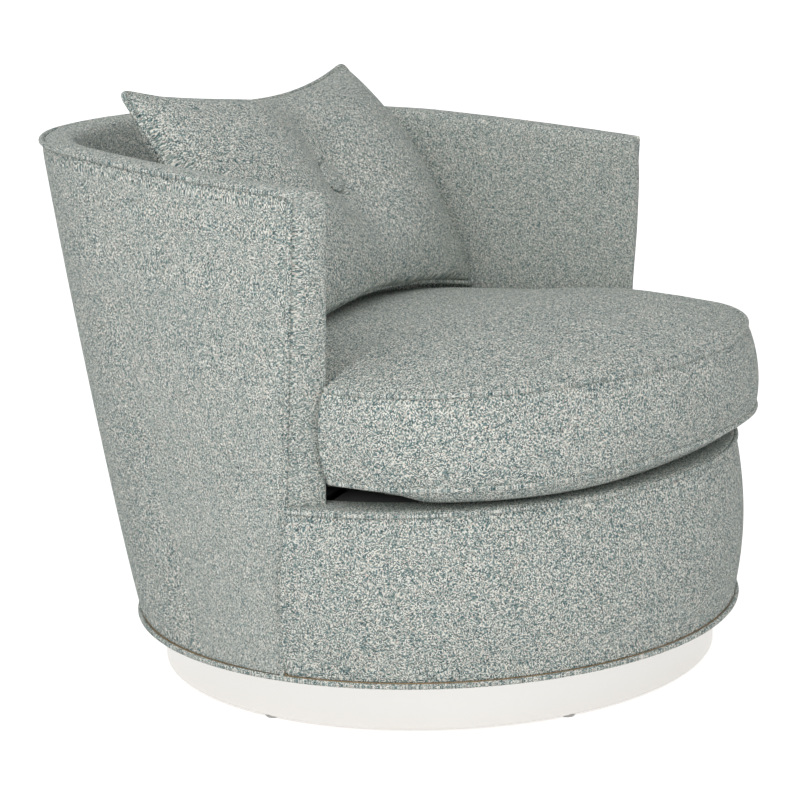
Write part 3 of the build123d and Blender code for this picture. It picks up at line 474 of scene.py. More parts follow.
def half_outline(arcs, limit, side):
    """Points from the front end of one side to the middle of the back."""
    end = degrees(acos((limit - arcs[2][1]) / arcs[2][2]))
    along = end + (CORNER_HEADING - end) * np.array(END_STEPS)
    corner = np.linspace(CORNER_HEADING, BACK_HEADING, 15)[1:]
    back = np.linspace(BACK_HEADING, 0.0, 10)[1:]
    return np.concatenate([
        arc_points(arcs[2], along, side),
        arc_points(arcs[1], corner, side),
        arc_points(arcs[0], back, side),
    ])


def hoop(level, share, setback=0.0):
    """Points of a hoop of the wall in space, left front end round the back to the right."""
    arcs = wall_arcs(level, share)
    limit = front_limit(level, share) + setback
    left = half_outline(arcs, limit, -1)
    right = half_outline(arcs, limit, 1)[::-1]
    plan = np.concatenate([left, right[1:]])
    rake = atan(RIM_RISE * level)
    height = HOOP_BASE + level * WALL_SPAN
    sag = level * RIM_SAG * np.clip((plan[:, 1] - SAG_FROM) / SAG_OVER, 0.0, 1.0)
    return np.stack(
        [plan[:, 0], plan[:, 1] * cos(rake), height + plan[:, 1] * sin(rake) - sag], 1
    )


class Wall:
    """Points in the wall: across by its thickness, up by its level. It keeps the hoops it made."""

    def __init__(self):
        self.hoops = {}

    def row(self, share, level, setback=0.0):
        """A row of points right along the wall. level may be one number or one per point."""
        key = (round(share, 5), setback)
        if key not in self.hoops:
            self.hoops[key] = (hoop(0.0, share, setback), hoop(1.0, share, setback))
        low, high = self.hoops[key]
        level = np.asarray(level, float).reshape(-1, 1)
        return (1 - level) * low + level * high


def level_for(z, y):
    """Level of the wall at a height, at a given depth of the chair."""
    return (z - HOOP_BASE) / (WALL_SPAN + RIM_RISE * y)


def low_level(z):
    """Level of the wall at a height, at the back."""
    return level_for(z, RIM_BACK)


# Front bow at the deck, in base radii: its middle arc, its end arcs, and how far back it lies.
BOW_MIDDLE, BOW_END, BOW_BACK = 1.072, 0.814, 0.077


def bow_arcs(share, depth):
    """Front bow, from the round base to the deck, set in by a depth."""
    turn = radians(FRONT_HEADING)
    big, small, y = (part * BASE_RADIUS for part in (BOW_MIDDLE, BOW_END, BOW_BACK))
    step = big - small
    deck = np.array([(0.0, y, big), (-step * sin(turn), y - step * cos(turn), small)])
    base = np.array([(0.0, 0.0, BASE_RADIUS)] * 2)
    arcs = (1 - share) * base + share * deck
    arcs[:, 2] -= depth
    return arcs


def bow_share(z):
    """Share of the way from the base to the deck, at a height."""
    return (z - HOOP_BASE) / (DECK - HOOP_BASE)


def seam_y(z):
    """Where the upright welt runs, at a height."""
    return front_limit(level_for(z, FRONT_OUT[0]), 0.0)


# Shares of the way from an end of the front bow to its middle arc, closer together at the end.
BOW_STEPS = (0.0, 0.03, 0.09, 0.2, 0.34, 0.5, 0.67, 0.84, 1.0)


def bow_row(z, share, depth, limit):
    """Points of the front bow from the left end to the right end, which lie at y = limit."""
    arcs = bow_arcs(share, depth)
    end = degrees(acos((arcs[1][1] - limit) / arcs[1][2]))
    along = end + (FRONT_HEADING - end) * np.array(BOW_STEPS)
    middle = np.linspace(FRONT_HEADING, 0.0, 19)[1:]
    left = np.concatenate([front_points(arcs[1], along, -1), front_points(arcs[0], middle, -1)])
    right = left[::-1][1:] * (-1, 1)
    plan = np.concatenate([left, right])
    return np.column_stack([plan, np.full(len(plan), z)])


# --- Meshes -------------------------------------------------------------------------------------
CLOTH_THICK = 2.0


def grid_faces(rows, columns, wrap=False):
    """Quads of a grid of points stored row by row."""
    faces = []
    for i in range(rows - 1):
        for j in range(columns if wrap else columns - 1):
            k = (j + 1) % columns
            faces.append((i * columns + j, i * columns + k, (i + 1) * columns + k,
                          (i + 1) * columns + j))
    return faces


def piece(name, points, faces, body, look, slot, nodes=(), weave=None):
    """A piece from points in millimetres, riding on a body and standing for its nodes."""
    mesh = bpy.data.meshes.new(name)
    mesh.from_pydata((np.asarray(points, float) * MM).tolist(), [], faces)
    mesh.validate()
    mesh.shade_smooth()
    obj = bpy.data.objects.new(name, mesh)
    bpy.context.scene.collection.objects.link(obj)
    mesh.materials.append(finish(look))
    if weave is not None:
        lay_weave(mesh, weave)
    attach(obj, body)
    if nodes:
        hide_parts(*nodes)
    return obj


def ring_mesh(rings, top, bottom):
    """Closed body through rings, with a point in the middle of each end."""
    n = len(rings[0])
    verts = np.concatenate([np.concatenate(rings), [top], [bottom]])
    faces = grid_faces(len(rings), n, wrap=True)
    last = (len(rings) - 1) * n
    faces += [(last + j, last + (j + 1) % n, len(verts) - 2) for j in range(n)]
    faces += [((j + 1) % n, j, len(verts) - 1) for j in range(n)]
    return verts, faces


def strip_mesh(rows):
    """Closed strip: rows of points round its profile, joined up, with a face at each end."""
    n = len(rows[0])
    last = (len(rows) - 1) * n
    faces = grid_faces(len(rows), n)
    faces += [(last + j, last + j + 1, j + 1, j) for j in range(n - 1)]
    faces += [tuple(i * n for i in range(len(rows))),
              tuple(i * n + n - 1 for i in reversed(range(len(rows))))]
    return np.concatenate(rows), faces


def vectors(items, name="co"):
    """A vector of every vertex or face of a mesh, row by row."""
    flat = np.zeros(len(items) * 3)
    items.foreach_get(name, flat)
    return flat.reshape(-1, 3)


def put_points(mesh, points):
    mesh.vertices.foreach_set("co", points.astype(np.float32).ravel())
    mesh.update()


def corner_points(mesh):
    """The vertex of every face corner."""
    index = np.zeros(len(mesh.loops), np.int32)
    mesh.loops.foreach_get("vertex_index", index)
    return index


def store_weave(mesh, values):
    """Keep the cloth coordinates of the face corners, in metres, for the tweed to read."""
    layer = mesh.attributes.new("weave", "FLOAT_VECTOR", "CORNER")
    layer.data.foreach_set("vector", values.astype(np.float32).ravel())


def lay_weave(mesh, weave):
    """Cloth coordinates from one value per point, in millimetres."""
    store_weave(mesh, np.asarray(weave, float)[corner_points(mesh)] * (MM, MM, 1.0))


def bake(obj):
    """Apply the modifiers of a piece to its mesh."""
    graph = bpy.context.evaluated_depsgraph_get()
    old = obj.data
    obj.data = bpy.data.meshes.new_from_object(obj.evaluated_get(graph))
    obj.modifiers.clear()
    obj.data.name = obj.name
    bpy.data.meshes.remove(old)
    obj.data.shade_smooth()
    return obj


def smoothed(obj):
    """Subdivide a cage of cloth, give it a thickness inwards, and apply both."""
    divide = obj.modifiers.new("smooth", "SUBSURF")
    divide.levels = divide.render_levels = 2
    divide.boundary_smooth = "PRESERVE_CORNERS"
    solid = obj.modifiers.new("cloth", "SOLIDIFY")
    solid.thickness = CLOTH_THICK * MM
    solid.offset = -1.0
    return bake(obj)


def outwards(obj):
    """Point every face away from the inside."""
    work = bmesh.new()
    work.from_mesh(obj.data)
    bmesh.ops.recalc_face_normals(work, faces=work.faces)
    work.to_mesh(obj.data)
    work.free()
    return obj


def arc_length(points):
    """Way along a line to each of its points."""
    steps = np.linalg.norm(np.diff(points, axis=0), axis=1)
    return np.concatenate([[0.0], np.cumsum(steps)])


def resample(points, step, closed=False):
    """Points at even steps along a line."""
    line = np.concatenate([points, points[:1]]) if closed else np.asarray(points)
    run = arc_length(line)
    count = max(int(round(run[-1] / step)), 8)
    at = np.linspace(0.0, run[-1], count + 1)
    if closed:
        at = at[:-1]
    return np.stack([np.interp(at, run, line[:, k]) for k in range(3)], 1)


def relaxed(points, rounds, closed=False):
    """Even out the kinks of a line."""
    line = np.array(points)
    for _ in range(rounds):
        if closed:
            line = (np.roll(line, 1, 0) + 2 * line + np.roll(line, -1, 0)) / 4
        else:
            line[1:-1] = (line[:-2] + 2 * line[1:-1] + line[2:]) / 4
    return line


CORD_SIDES = 12
# Rounded ends of a cord, in radii: how far out the tip and the last ring are, and that ring's size.
CORD_TIP, CORD_RING, CORD_RING_SIZE = 0.7, 0.45, 0.72
CORD_PANEL = 0.31


def tube(points, radius, closed=False):
    """Points, faces and weave of a round cord along a line, with rounded ends."""
    sides = CORD_SIDES
    line = np.asarray(points, float)
    if closed:
        ahead = np.roll(line, -1, 0) - np.roll(line, 1, 0)
    else:
        ahead = np.gradient(line, axis=0)
    ahead /= np.linalg.norm(ahead, axis=1)[:, None]
    normal = np.zeros_like(ahead)
    ref = np.cross(ahead[0], (0.0, 0.0, 1.0))
    if np.linalg.norm(ref) < 0.3:
        ref = np.cross(ahead[0], (1.0, 0.0, 0.0))
    for i, way in enumerate(ahead):
        ref = ref - way * (ref @ way)
        ref /= np.linalg.norm(ref)
        normal[i] = ref
    other = np.cross(ahead, normal)
    turns = np.arange(sides) * 2 * pi / sides
    rings = line[:, None] + radius * (np.cos(turns)[None, :, None] * normal[:, None]
                                      + np.sin(turns)[None, :, None] * other[:, None])
    round_it = np.where(turns > pi, 2 * pi - turns, turns) * radius
    weave = np.stack([
        np.repeat(arc_length(line), sides), np.tile(round_it, len(line)),
        np.full(len(line) * sides, CORD_PANEL),
    ], 1)
    faces = grid_faces(len(line), sides, wrap=True)
    verts = rings.reshape(-1, 3)
    if closed:
        last = (len(line) - 1) * sides
        faces += [(last + j, last + (j + 1) % sides, (j + 1) % sides, j) for j in range(sides)]
        return verts, faces, weave
    for end, way in ((0, -1), (len(line) - 1, 1)):
        tip = line[end] + way * ahead[end] * radius * CORD_TIP
        ring_at = line[end] + way * ahead[end] * radius * CORD_RING
        cap = ring_at + CORD_RING_SIZE * (rings[end] - line[end])
        base, first = len(verts), end * sides
        verts = np.concatenate([verts, cap, tip[None]])
        weave = np.concatenate([weave, weave[first: first + sides], weave[first: first + 1]])
        for j in range(sides):
            k = (j + 1) % sides
            quad = (first + j, first + k, base + k, base + j)
            tri = (base + j, base + k, base + sides)
            faces.append(quad if way > 0 else quad[::-1])
            faces.append(tri if way > 0 else tri[::-1])
    return verts, faces, weave


def cord(name, points, radius, body, nodes, closed=False):
    verts, faces, weave = tube(points, radius, closed)
    return outwards(piece(name, verts, faces, body, "welt_tweed", "welt_cloth", nodes, weave))


# --- Operators ----------------------------------------------------------------------------------
WHITE, BLACK = (1.0, 1.0, 1.0), (0.0, 0.0, 0.0)
FLOOR_GLOW = 0.75
# Camera of the photograph: its place in metres, its turns in radians, its lens in millimetres.
CAMERA_HEADING, CAMERA_AWAY, CAMERA_HIGH = radians(55.0026), 2.73, 0.8958
CAMERA_YAW, CAMERA_PITCH, CAMERA_ROLL = -0.0155, 0.200545, -0.038662
LENS, SENSOR = 90.696, 36.0


class CHAIR_OT_studio(bpy.types.Operator):
    """Pale floor and backdrop, two soft lamps, and the camera of the photograph"""

    bl_idname = "chair.studio"
    bl_label = "Studio"

    def execute(self, context):
        look = settings("studio")
        scene = context.scene
        scene.view_settings.view_transform = "Standard"
        self.backdrop(scene, self.paint(look))
        self.surroundings(scene, look.world)
        # Both lamps stand on the camera's side, the side lamp higher and more to the left.
        self.lamp(scene, "key_lamp", look.key, (-2.5, -2.1, 1.7))
        self.lamp(scene, "side_lamp", look.side, (-2.4, 0.3, 2.6))
        self.camera(scene)
        return {"FINISHED"}

    def paint(self, look):
        """Plain paint that also glows, for the camera and in reflections only."""
        g = Graph("studio_floor")
        rays = g.node("ShaderNodeLightPath").socket.node.outputs
        shown = Signal(g, rays["Is Camera Ray"]) + Signal(g, rays["Is Glossy Ray"])
        paint = g.node("ShaderNodeBsdfDiffuse", {}, {"Color": tuple(look.floor)})
        glow = g.node("ShaderNodeEmission", {}, {"Color": WHITE, "Strength": FLOOR_GLOW})
        dark = g.node("ShaderNodeEmission", {}, {"Color": BLACK, "Strength": 0.0})
        lift = g.node("ShaderNodeMixShader", {}, {0: shown, 1: dark, 2: glow})
        both = g.node("ShaderNodeAddShader", {}, {0: paint, 1: lift})
        g.node("ShaderNodeOutputMaterial", {}, {"Surface": both})
        return g.material

    def backdrop(self, scene, material):
        """One sheet: floor, a wide bend and a wall, turned to face the photograph's camera."""
        away = np.array([sin(radians(55.0)), cos(radians(55.0)), 0.0])
        along = np.array([away[1], -away[0], 0.0])
        half, reach, bend, high = 9.0, 2.6, 1.6, 7.0
        profile = [(-half, 0.0), (reach, 0.0)]
        profile += [(reach + bend * sin(radians(a)), bend - bend * cos(radians(a)))
                    for a in range(9, 90, 9)]
        profile += [(reach + bend, bend), (reach + bend, high)]
        verts = [away * out + along * way + (0.0, 0.0, up)
                 for out, up in profile for way in (-half, half)]
        mesh = bpy.data.meshes.new("studio_sheet")
        mesh.from_pydata([tuple(v) for v in verts], [], grid_faces(len(profile), 2))
        mesh.shade_smooth()
        mesh.materials.append(material)
        sheet = bpy.data.objects.new("studio_sheet", mesh)
        scene.collection.objects.link(sheet)

    def surroundings(self, scene, level):
        """Even light from all round, which is white where the camera or a reflection sees it."""
        world = bpy.data.worlds.new("studio_world")
        world.use_nodes = True
        tree = world.node_tree
        tree.nodes.clear()
        rays = tree.nodes.new("ShaderNodeLightPath").outputs
        shown = tree.nodes.new("ShaderNodeMath")
        shown.operation = "MAXIMUM"
        tree.links.new(rays["Is Camera Ray"], shown.inputs[0])
        tree.links.new(rays["Is Glossy Ray"], shown.inputs[1])
        mix = tree.nodes.new("ShaderNodeMixShader")
        tree.links.new(shown.outputs[0], mix.inputs[0])
        for place, strength in ((1, level), (2, 1.0)):
            light = tree.nodes.new("ShaderNodeBackground")
            light.inputs["Color"].default_value = (*WHITE, 1.0)
            light.inputs["Strength"].default_value = strength
            tree.links.new(light.outputs[0], mix.inputs[place])
        out = tree.nodes.new("ShaderNodeOutputWorld")
        tree.links.new(mix.outputs[0], out.inputs["Surface"])
        scene.world = world

    def lamp(self, scene, name, power, place):
        data = bpy.data.lights.new(name, "AREA")
        data.size = 3.0
        data.energy = power
        lamp = bpy.data.objects.new(name, data)
        lamp.location = place
        aim = Vector((0.0, 0.0, 0.4)) - lamp.location
        lamp.rotation_euler = aim.to_track_quat("-Z", "Y").to_euler()
        scene.collection.objects.link(lamp)

    def camera(self, scene):
        """At the front left, looking slightly down, with the photograph's turn and roll."""
        heading = CAMERA_HEADING
        place = Vector((-sin(heading) * CAMERA_AWAY, -cos(heading) * CAMERA_AWAY, CAMERA_HIGH))
        ahead = Vector((sin(heading + CAMERA_YAW) * cos(CAMERA_PITCH),
                        cos(heading + CAMERA_YAW) * cos(CAMERA_PITCH), -sin(CAMERA_PITCH)))
        level = ahead.cross(Vector((0.0, 0.0, 1.0))).normalized()
        above = level.cross(ahead)
        right = cos(CAMERA_ROLL) * level + sin(CAMERA_ROLL) * above
        up = cos(CAMERA_ROLL) * above - sin(CAMERA_ROLL) * level
        data = bpy.data.cameras.new("photo_camera")
        data.sensor_width = SENSOR
        data.lens = LENS
        camera = bpy.data.objects.new("photo_camera", data)
        camera.matrix_world = Matrix((
            (right.x, up.x, -ahead.x, place.x),
            (right.y, up.y, -ahead.y, place.y),
            (right.z, up.z, -ahead.z, place.z),
            (0.0, 0.0, 0.0, 1.0),
        ))
        scene.collection.objects.link(camera)
        scene.camera = camera


FINISHES = {
    "glide_plastic": ("floor_glides",),
    "ply": ("plinth_drum", "plinth_board", "plinth_brace_across", "plinth_brace_along",
            "base_board"),
    "upright_wood": ("seat_rail", "top_rail", "lower_posts", "upper_posts", "front_board"),
    "swivel_steel": ("swivel_lower_plate", "swivel_lower_race", "swivel_upper_plate",
                     "swivel_upper_race", "swivel_kingpin"),
    "bolt_steel": ("plinth_plate_bolts", "seat_plate_bolts"),
    "cage_plastic": ("swivel_ball_cage",),
    "ball_steel": ("swivel_balls",),
    "webbing": ("deck_straps_along", "deck_straps_across"),
}


class CHAIR_OT_hidden_frame(bpy.types.Operator):
    """Finishes of the plinth, swivel, frame and webbing, which keep the solids' own shapes"""

    bl_idname = "chair.hidden_frame"
    bl_label = "Plinth, swivel and frame"

    def execute(self, context):
        for look, nodes in FINISHES.items():
            for node in nodes:
                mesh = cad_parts[node].data
                mesh.materials.clear()
                mesh.materials.append(finish(look))
        return {"FINISHED"}


class CHAIR_OT_plinth_band(bpy.types.Operator):
    """Polished band round the plinth, lapped at the back"""

    bl_idname = "chair.plinth_band"
    bl_label = "Plinth band"

    def execute(self, context):
        # It turns once round from the lap; its end rides over its start by one thickness.
        start, lap, ramp = pi / 2, 24.0 / PLINTH_RADIUS, 0.008
        turns = np.linspace(start - lap / 2, start + 2 * pi + lap / 2, 400)
        over = 0.5 + 0.5 * np.tanh((turns - (start + 2 * pi - lap * 0.9)) / ramp)
        # How far out of the plinth's radius and how high over its lower edge, round the section.
        profile = [(-BAND, 0.0), (-0.35, 0.0), (0.0, 0.5), (0.0, 1.5), (0.0, 14.0),
                   (0.0, 29.0), (0.0, 44.0), (0.0, 56.5), (0.0, 57.5), (-0.35, 58.0),
                   (-BAND, 58.0)]
        rows = []
        for depth, height in profile:
            radius = PLINTH_RADIUS + depth + BAND * over * 0.96
            rows.append(np.stack([radius * np.cos(turns), radius * np.sin(turns),
                                  np.full(len(turns), PLINTH_LOW + height)], 1))
        outwards(piece("plinth_band_polished", *strip_mesh(rows), "base", "plinth_steel",
                       "plinth_metal", ("plinth_band",)))
        return {"FINISHED"}


class CHAIR_OT_outside_cover(bpy.types.Operator):
    """Tweed over the outside of the shell, from the base welt to the rim welt"""

    bl_idname = "chair.outside_cover"
    bl_label = "Outside cover"

    def execute(self, context):
        look = settings("shell")
        tuck = look.tuck / MM
        wall = Wall()
        # It stops a little under the middle of the rim welt.
        top = 1.0 - (WELT * 0.55) / WALL_SPAN
        # Height over the base welt and depth under the wall's outside; it swells in between.
        steps = [(0.0, tuck), (4.0, 0.3 * tuck), (12.0, -0.4), (50.0, -2.0), (130.0, -3.8),
                 (250.0, -4.6), (370.0, -4.4), (480.0, -3.2), (550.0, -1.8)]
        cage = [(height / WALL_SPAN, depth) for height, depth in steps]
        cage += [(top - 12.0 / WALL_SPAN, -0.8), (top - 4.0 / WALL_SPAN, 0.3 * tuck),
                 (top, tuck)]
        full = np.stack([wall.row(depth / WALL, level, SEAM_GAP) for level, depth in cage])
        flat = np.stack([wall.row(0.0, level, SEAM_GAP) for level, _ in cage])
        # The cover lies flat beside the upright seams, and its ends dip into them.
        column = np.arange(full.shape[1])
        swell = np.clip(np.minimum(column, column[::-1]) / 6.0, 0.0, 1.0)[None, :, None]
        grid = flat + (full - flat) * swell
        for end, near, way in ((0, 1, 1.0), (-1, -2, -1.0)):
            grid[:, end] += (way * tuck, 0.0, 0.0)
            grid[:, near] += (way * tuck * 0.15, 0.0, 0.0)
        run = arc_length(hoop(1.0, 0.0))
        mid = len(run) // 2
        weave = np.stack([
            np.broadcast_to(run - run[mid], grid.shape[:2]), grid[:, :, 2],
            np.full(grid.shape[:2], 0.11),
        ], 2)
        cover = piece("outside_cover_tweed", grid.reshape(-1, 3),
                      grid_faces(*grid.shape[:2]), "chair_body", "shell_tweed",
                      "cover_cloth", ("outside_cover",), weave.reshape(-1, 3))
        flip_towards(cover, lambda p: Vector((p.x, p.y - 0.05, 0.0)))
        smoothed(cover)
        return {"FINISHED"}


def flip_towards(obj, way_of):
    """Turn an open sheet's faces so that most of them point the given way."""
    if sum(face.normal.dot(way_of(face.center)) for face in obj.data.polygons) < 0:
        obj.data.flip_normals()


# Inside cover: the way down from the rim to under the deck, and where its foot is.
LINING_RUN, LINING_FOOT = 420.0, 269.0
# Share of that way at which the arm fronts stop, at the deck.
ARM_FOOT = 0.952
# Height at which the arm fronts begin to swell, over the cushion, and the stretch that it takes.
SWELL_FROM, SWELL_OVER = 452.0, 60.0


class CHAIR_OT_inside_cover(bpy.types.Operator):
    """Padded lining with its rolled rim and both arm fronts, in one wrap of tweed"""

    bl_idname = "chair.inside_cover"
    bl_label = "Inside, rim roll and arm fronts"

    def execute(self, context):
        look = settings("shell")
        crown, roll = look.crown / MM, look.roll / MM
        wall = Wall()
        # Across the top, from the rim seam to the inner edge: depth and height.
        across = [(3.2, -2.6), (5.2, 1.6), (10.5, crown * 0.70), (19.0, crown),
                  (28.0, crown * 0.98), (36.0, crown * 0.80), (WALL, crown * 0.35)]
        # Down the inside, as shares of the way from the rim to under the deck.
        down = (0.0, roll / LINING_RUN, 0.13, 0.22, 0.33, 0.45, 0.57, 0.69, 0.80, 0.89,
                ARM_FOOT, 1.0)
        foot_level = level_for(LINING_FOOT, wall.row(1.0, 0.32)[:, 1])
        edge_level = 1.0 + crown * 0.35 / WALL_SPAN
        top = [wall.row(depth / WALL, 1.0 + height / WALL_SPAN, self.setback(depth))
               for depth, height in across]
        side = [wall.row(1.0, edge_level + (foot_level - edge_level) * share)
                for share in down[1:]]
        grid = np.stack(top + side)
        rows, columns = grid.shape[:2]
        verts = list(grid.reshape(-1, 3))
        faces = grid_faces(rows, columns)
        run = arc_length(hoop(1.0, 1.0))
        run = run - run[len(run) // 2]
        profile = np.concatenate([np.array([depth for depth, _ in across]) - WALL,
                                  LINING_RUN * np.array(down[1:])])
        weave = [(run[j], -profile[i], 0.23) for i in range(rows) for j in range(columns)]

        # Arm fronts: from the outer seam to the inner edge, from the top down to the deck.
        last = down.index(ARM_FOOT)
        count = len(across)
        for end, way in ((0, -1), (columns - 1, 1)):
            index = np.zeros((last + 1, count), int)
            index[0] = [j * columns + end for j in range(count)]
            index[:, count - 1] = [(count - 1 + k) * columns + end for k in range(last + 1)]
            for k in range(1, last + 1):
                level = edge_level + (foot_level - edge_level) * down[k]
                for j in range(count - 1):
                    depth = across[j][0]
                    point = wall.row(depth / WALL, level, self.setback(depth))[end]
                    index[k, j] = len(verts)
                    verts.append(point + np.array([0.0, -self.puff(point[2], depth, k), 0.0]))
                    weave.append((run[end] + way * (WALL - depth), -LINING_RUN * down[k], 0.23))
            faces += [(index[k, j], index[k, j + 1], index[k + 1, j + 1], index[k + 1, j])
                      for k in range(last) for j in range(count - 1)]
        wrap = piece("inside_cover_tweed", verts, faces, "chair_body", "shell_tweed",
                     "cover_cloth", ("inside_pad", "arm_front_left", "arm_front_right"), weave)
        outwards(wrap)
        flip_towards(wrap, lambda p: Vector((-p.x, -p.y, 0.2)))
        smoothed(wrap)
        return {"FINISHED"}

    def setback(self, depth):
        """The cloth beside the welt stands back from the front end of the wall."""
        return 2.0 if depth < 6.0 else 0.0

    def puff(self, z, depth, row):
        """How far an arm front swells forwards; beside the welt it is held back."""
        over = float(np.clip((z - SWELL_FROM) / SWELL_OVER, 0.0, 1.0))
        swell = (2.0 + 6.0 * over) * sin(pi * min(depth / WALL, 1.0) ** 0.8)
        return swell * min(1.0, row / 2) - (1.8 if depth < 4.0 and row > 1 else 0.0)


class CHAIR_OT_front_border(bpy.types.Operator):
    """Padded front border with the cloth ledge behind its welt"""

    bl_idname = "chair.front_border"
    bl_label = "Front border"

    def execute(self, context):
        look = settings("shell")
        tuck = look.tuck / MM
        # Height and depth of the border's rows, which swell in between the two seams.
        steps = [(75.0, tuck), (80.0, 0.3 * tuck), (92.0, -1.5), (120.0, -6.4), (150.0, -9.6),
                 (180.0, -10.8), (210.0, -10.0), (240.0, -7.4), (266.0, -4.0), (278.0, -1.4),
                 (283.5, 0.4 * tuck), (286.5, tuck)]
        rows = [bow_row(z, bow_share(z), depth, seam_y(z) - SEAM_GAP) for z, depth in steps]
        # The ledge behind the welt, the same way: level, then down its back edge.
        top = bow_share(DECK)
        ledge = [(290.4, 2.6), (291.0, 6.0), (290.8, 14.0), (290.6, 30.0), (290.4, 46.0),
                 (290.3, 56.0), (287.0, 57.5)]
        rows += [bow_row(z, top, depth, seam_y(DECK) - SEAM_GAP) for z, depth in ledge]
        grid = np.stack(rows)
        for end, way in ((0, 1.0), (-1, -1.0)):
            grid[:len(steps), end] += (way * tuck, 0.0, 0.0)
        run = arc_length(grid[len(steps) // 2])
        run = run - run[len(run) // 2]
        profile = np.concatenate([[z for z, _ in steps], [290 + d for _, d in ledge]])
        weave = [(run[j], profile[i], 0.37) for i in range(len(grid)) for j in range(len(run))]
        border = piece("front_border_tweed", grid.reshape(-1, 3), grid_faces(*grid.shape[:2]),
                       "chair_body", "shell_tweed", "cover_cloth", ("front_border",), weave)
        flip_towards(border, lambda p: Vector((p.x, p.y, 0.1)))
        smoothed(border)
        return {"FINISHED"}


# Deck pad: its foot, its gaps to the lining and the border, and where its front part begins.
DECK_FOOT, DECK_CLEAR, DECK_INSET, DECK_FRONT = 267.2, 1.5, 25.5, -90.0


class CHAIR_OT_deck(bpy.types.Operator):
    """Near-black cloth over the deck pad, under the cushion: dark cloth, its colour also painted
    shade of the gap there
    """

    bl_idname = "chair.deck"
    bl_label = "Deck cloth"

    def execute(self, context):
        outline = deck_outline()
        rings = [np.column_stack([outline * share, np.full(len(outline), z)]) for z, share in (
            (DECK_FOOT, 1.0), (284.0, 1.0), (289.2, 0.993), (290.0, 0.97), (290.0, 0.8),
            (289.7, 0.6), (289.4, 0.4), (289.3, 0.2))]
        deck = piece("deck_pad_cloth", *ring_mesh(rings, (0.0, 0.0, 289.2), (0.0, 0.0, DECK_FOOT)),
                     "chair_body", "deck_cloth", "deck_cloth", ("deck_pad",))
        outwards(deck)
        return {"FINISHED"}


def deck_outline():
    """Plan of the deck pad, inside the lining and the front border."""
    arcs = wall_arcs(low_level(DECK_FOOT), 1.0)
    arcs[:, 2] -= DECK_CLEAR
    left = half_outline(arcs, front_limit(low_level(DECK_FOOT), 1.0), -1)
    lined = np.concatenate([left, (left * (-1, 1))[::-1][1:]])
    bow = bow_arcs(bow_share(267.0), DECK_INSET)
    end = degrees(acos((bow[1][1] - DECK_FRONT) / bow[1][2]))
    one = np.concatenate([
        front_points(bow[1], np.linspace(end, FRONT_HEADING, 10), 1),
        front_points(bow[0], np.linspace(FRONT_HEADING, 0.0, 14)[1:], 1),
    ])
    front = np.concatenate([one, (one * (-1, 1))[::-1][1:]])
    return np.concatenate([lined, front])


class CHAIR_OT_shell_welts(bpy.types.Operator):
    """Corded welts of the rim, the arm fronts, the deck and the base"""

    bl_idname = "chair.shell_welts"
    bl_label = "Shell welts"

    def execute(self, context):
        radius = settings("shell").welt / MM
        wall = Wall()
        rim = relaxed(resample(wall.row(0.0, 1.0), 5.0), 6)
        cord("rim_welt_cord", rim, radius, "chair_body", ("rim_welt",))
        # The upright welts are a little slimmer than the rim's, and lie just inside its ends.
        for name, end, way in (("left", 0, 1.0), ("right", -1, -1.0)):
            levels = np.linspace(0.0, 1.0 - 0.4 * WELT / WALL_SPAN, 120)
            line = np.array([wall.row(0.0, level)[end] for level in levels])
            line[:, 0] += way * 0.4
            cord(f"arm_welt_cord_{name}", line, radius * 0.97, "chair_body",
                 (f"arm_welt_{name}",))
        line = bow_row(DECK - WELT, bow_share(DECK), 0.0, seam_y(DECK) - WELT * 0.4)
        cord("deck_welt_cord", relaxed(resample(line, 5.0), 3), radius, "chair_body",
             ("deck_welt",))
        turns = np.linspace(0.0, 2 * pi, 520, endpoint=False)
        out = BASE_RADIUS + 0.6
        ring = np.stack([out * np.cos(turns), out * np.sin(turns),
                         np.full(len(turns), HOOP_BASE - WELT)], 1)
        cord("base_welt_cord", ring, radius, "chair_body", ("base_welt",), closed=True)
        return {"FINISHED"}


# --- Seat cushion -------------------------------------------------------------------------------
# Front of the cushion: radii of its middle and its shoulders, and the heading where these end.
MIDDLE_ARC, SHOULDER_ARC = 2.289 * BASE_RADIUS, 0.699 * BASE_RADIUS
SHOULDER_END = 75.0
# How far the front stands out past the shell's base, an ear past its shoulder, and the knee of
# the ear's back edge in from there.
FRONT_OVERHANG, EAR_OUT, KNEE_IN = 4.0, 2.0, 17.0
# Where the front is drawn in: from this far off the middle, over this much, forward of this.
DRAW_FROM, DRAW_OVER, DRAW_FORWARD = 90.0, 270.0, -250.0
# How far: at the lower seam, and how much more at the upper one.
DRAW_LOW, DRAW_MORE = 2.0, 12.0


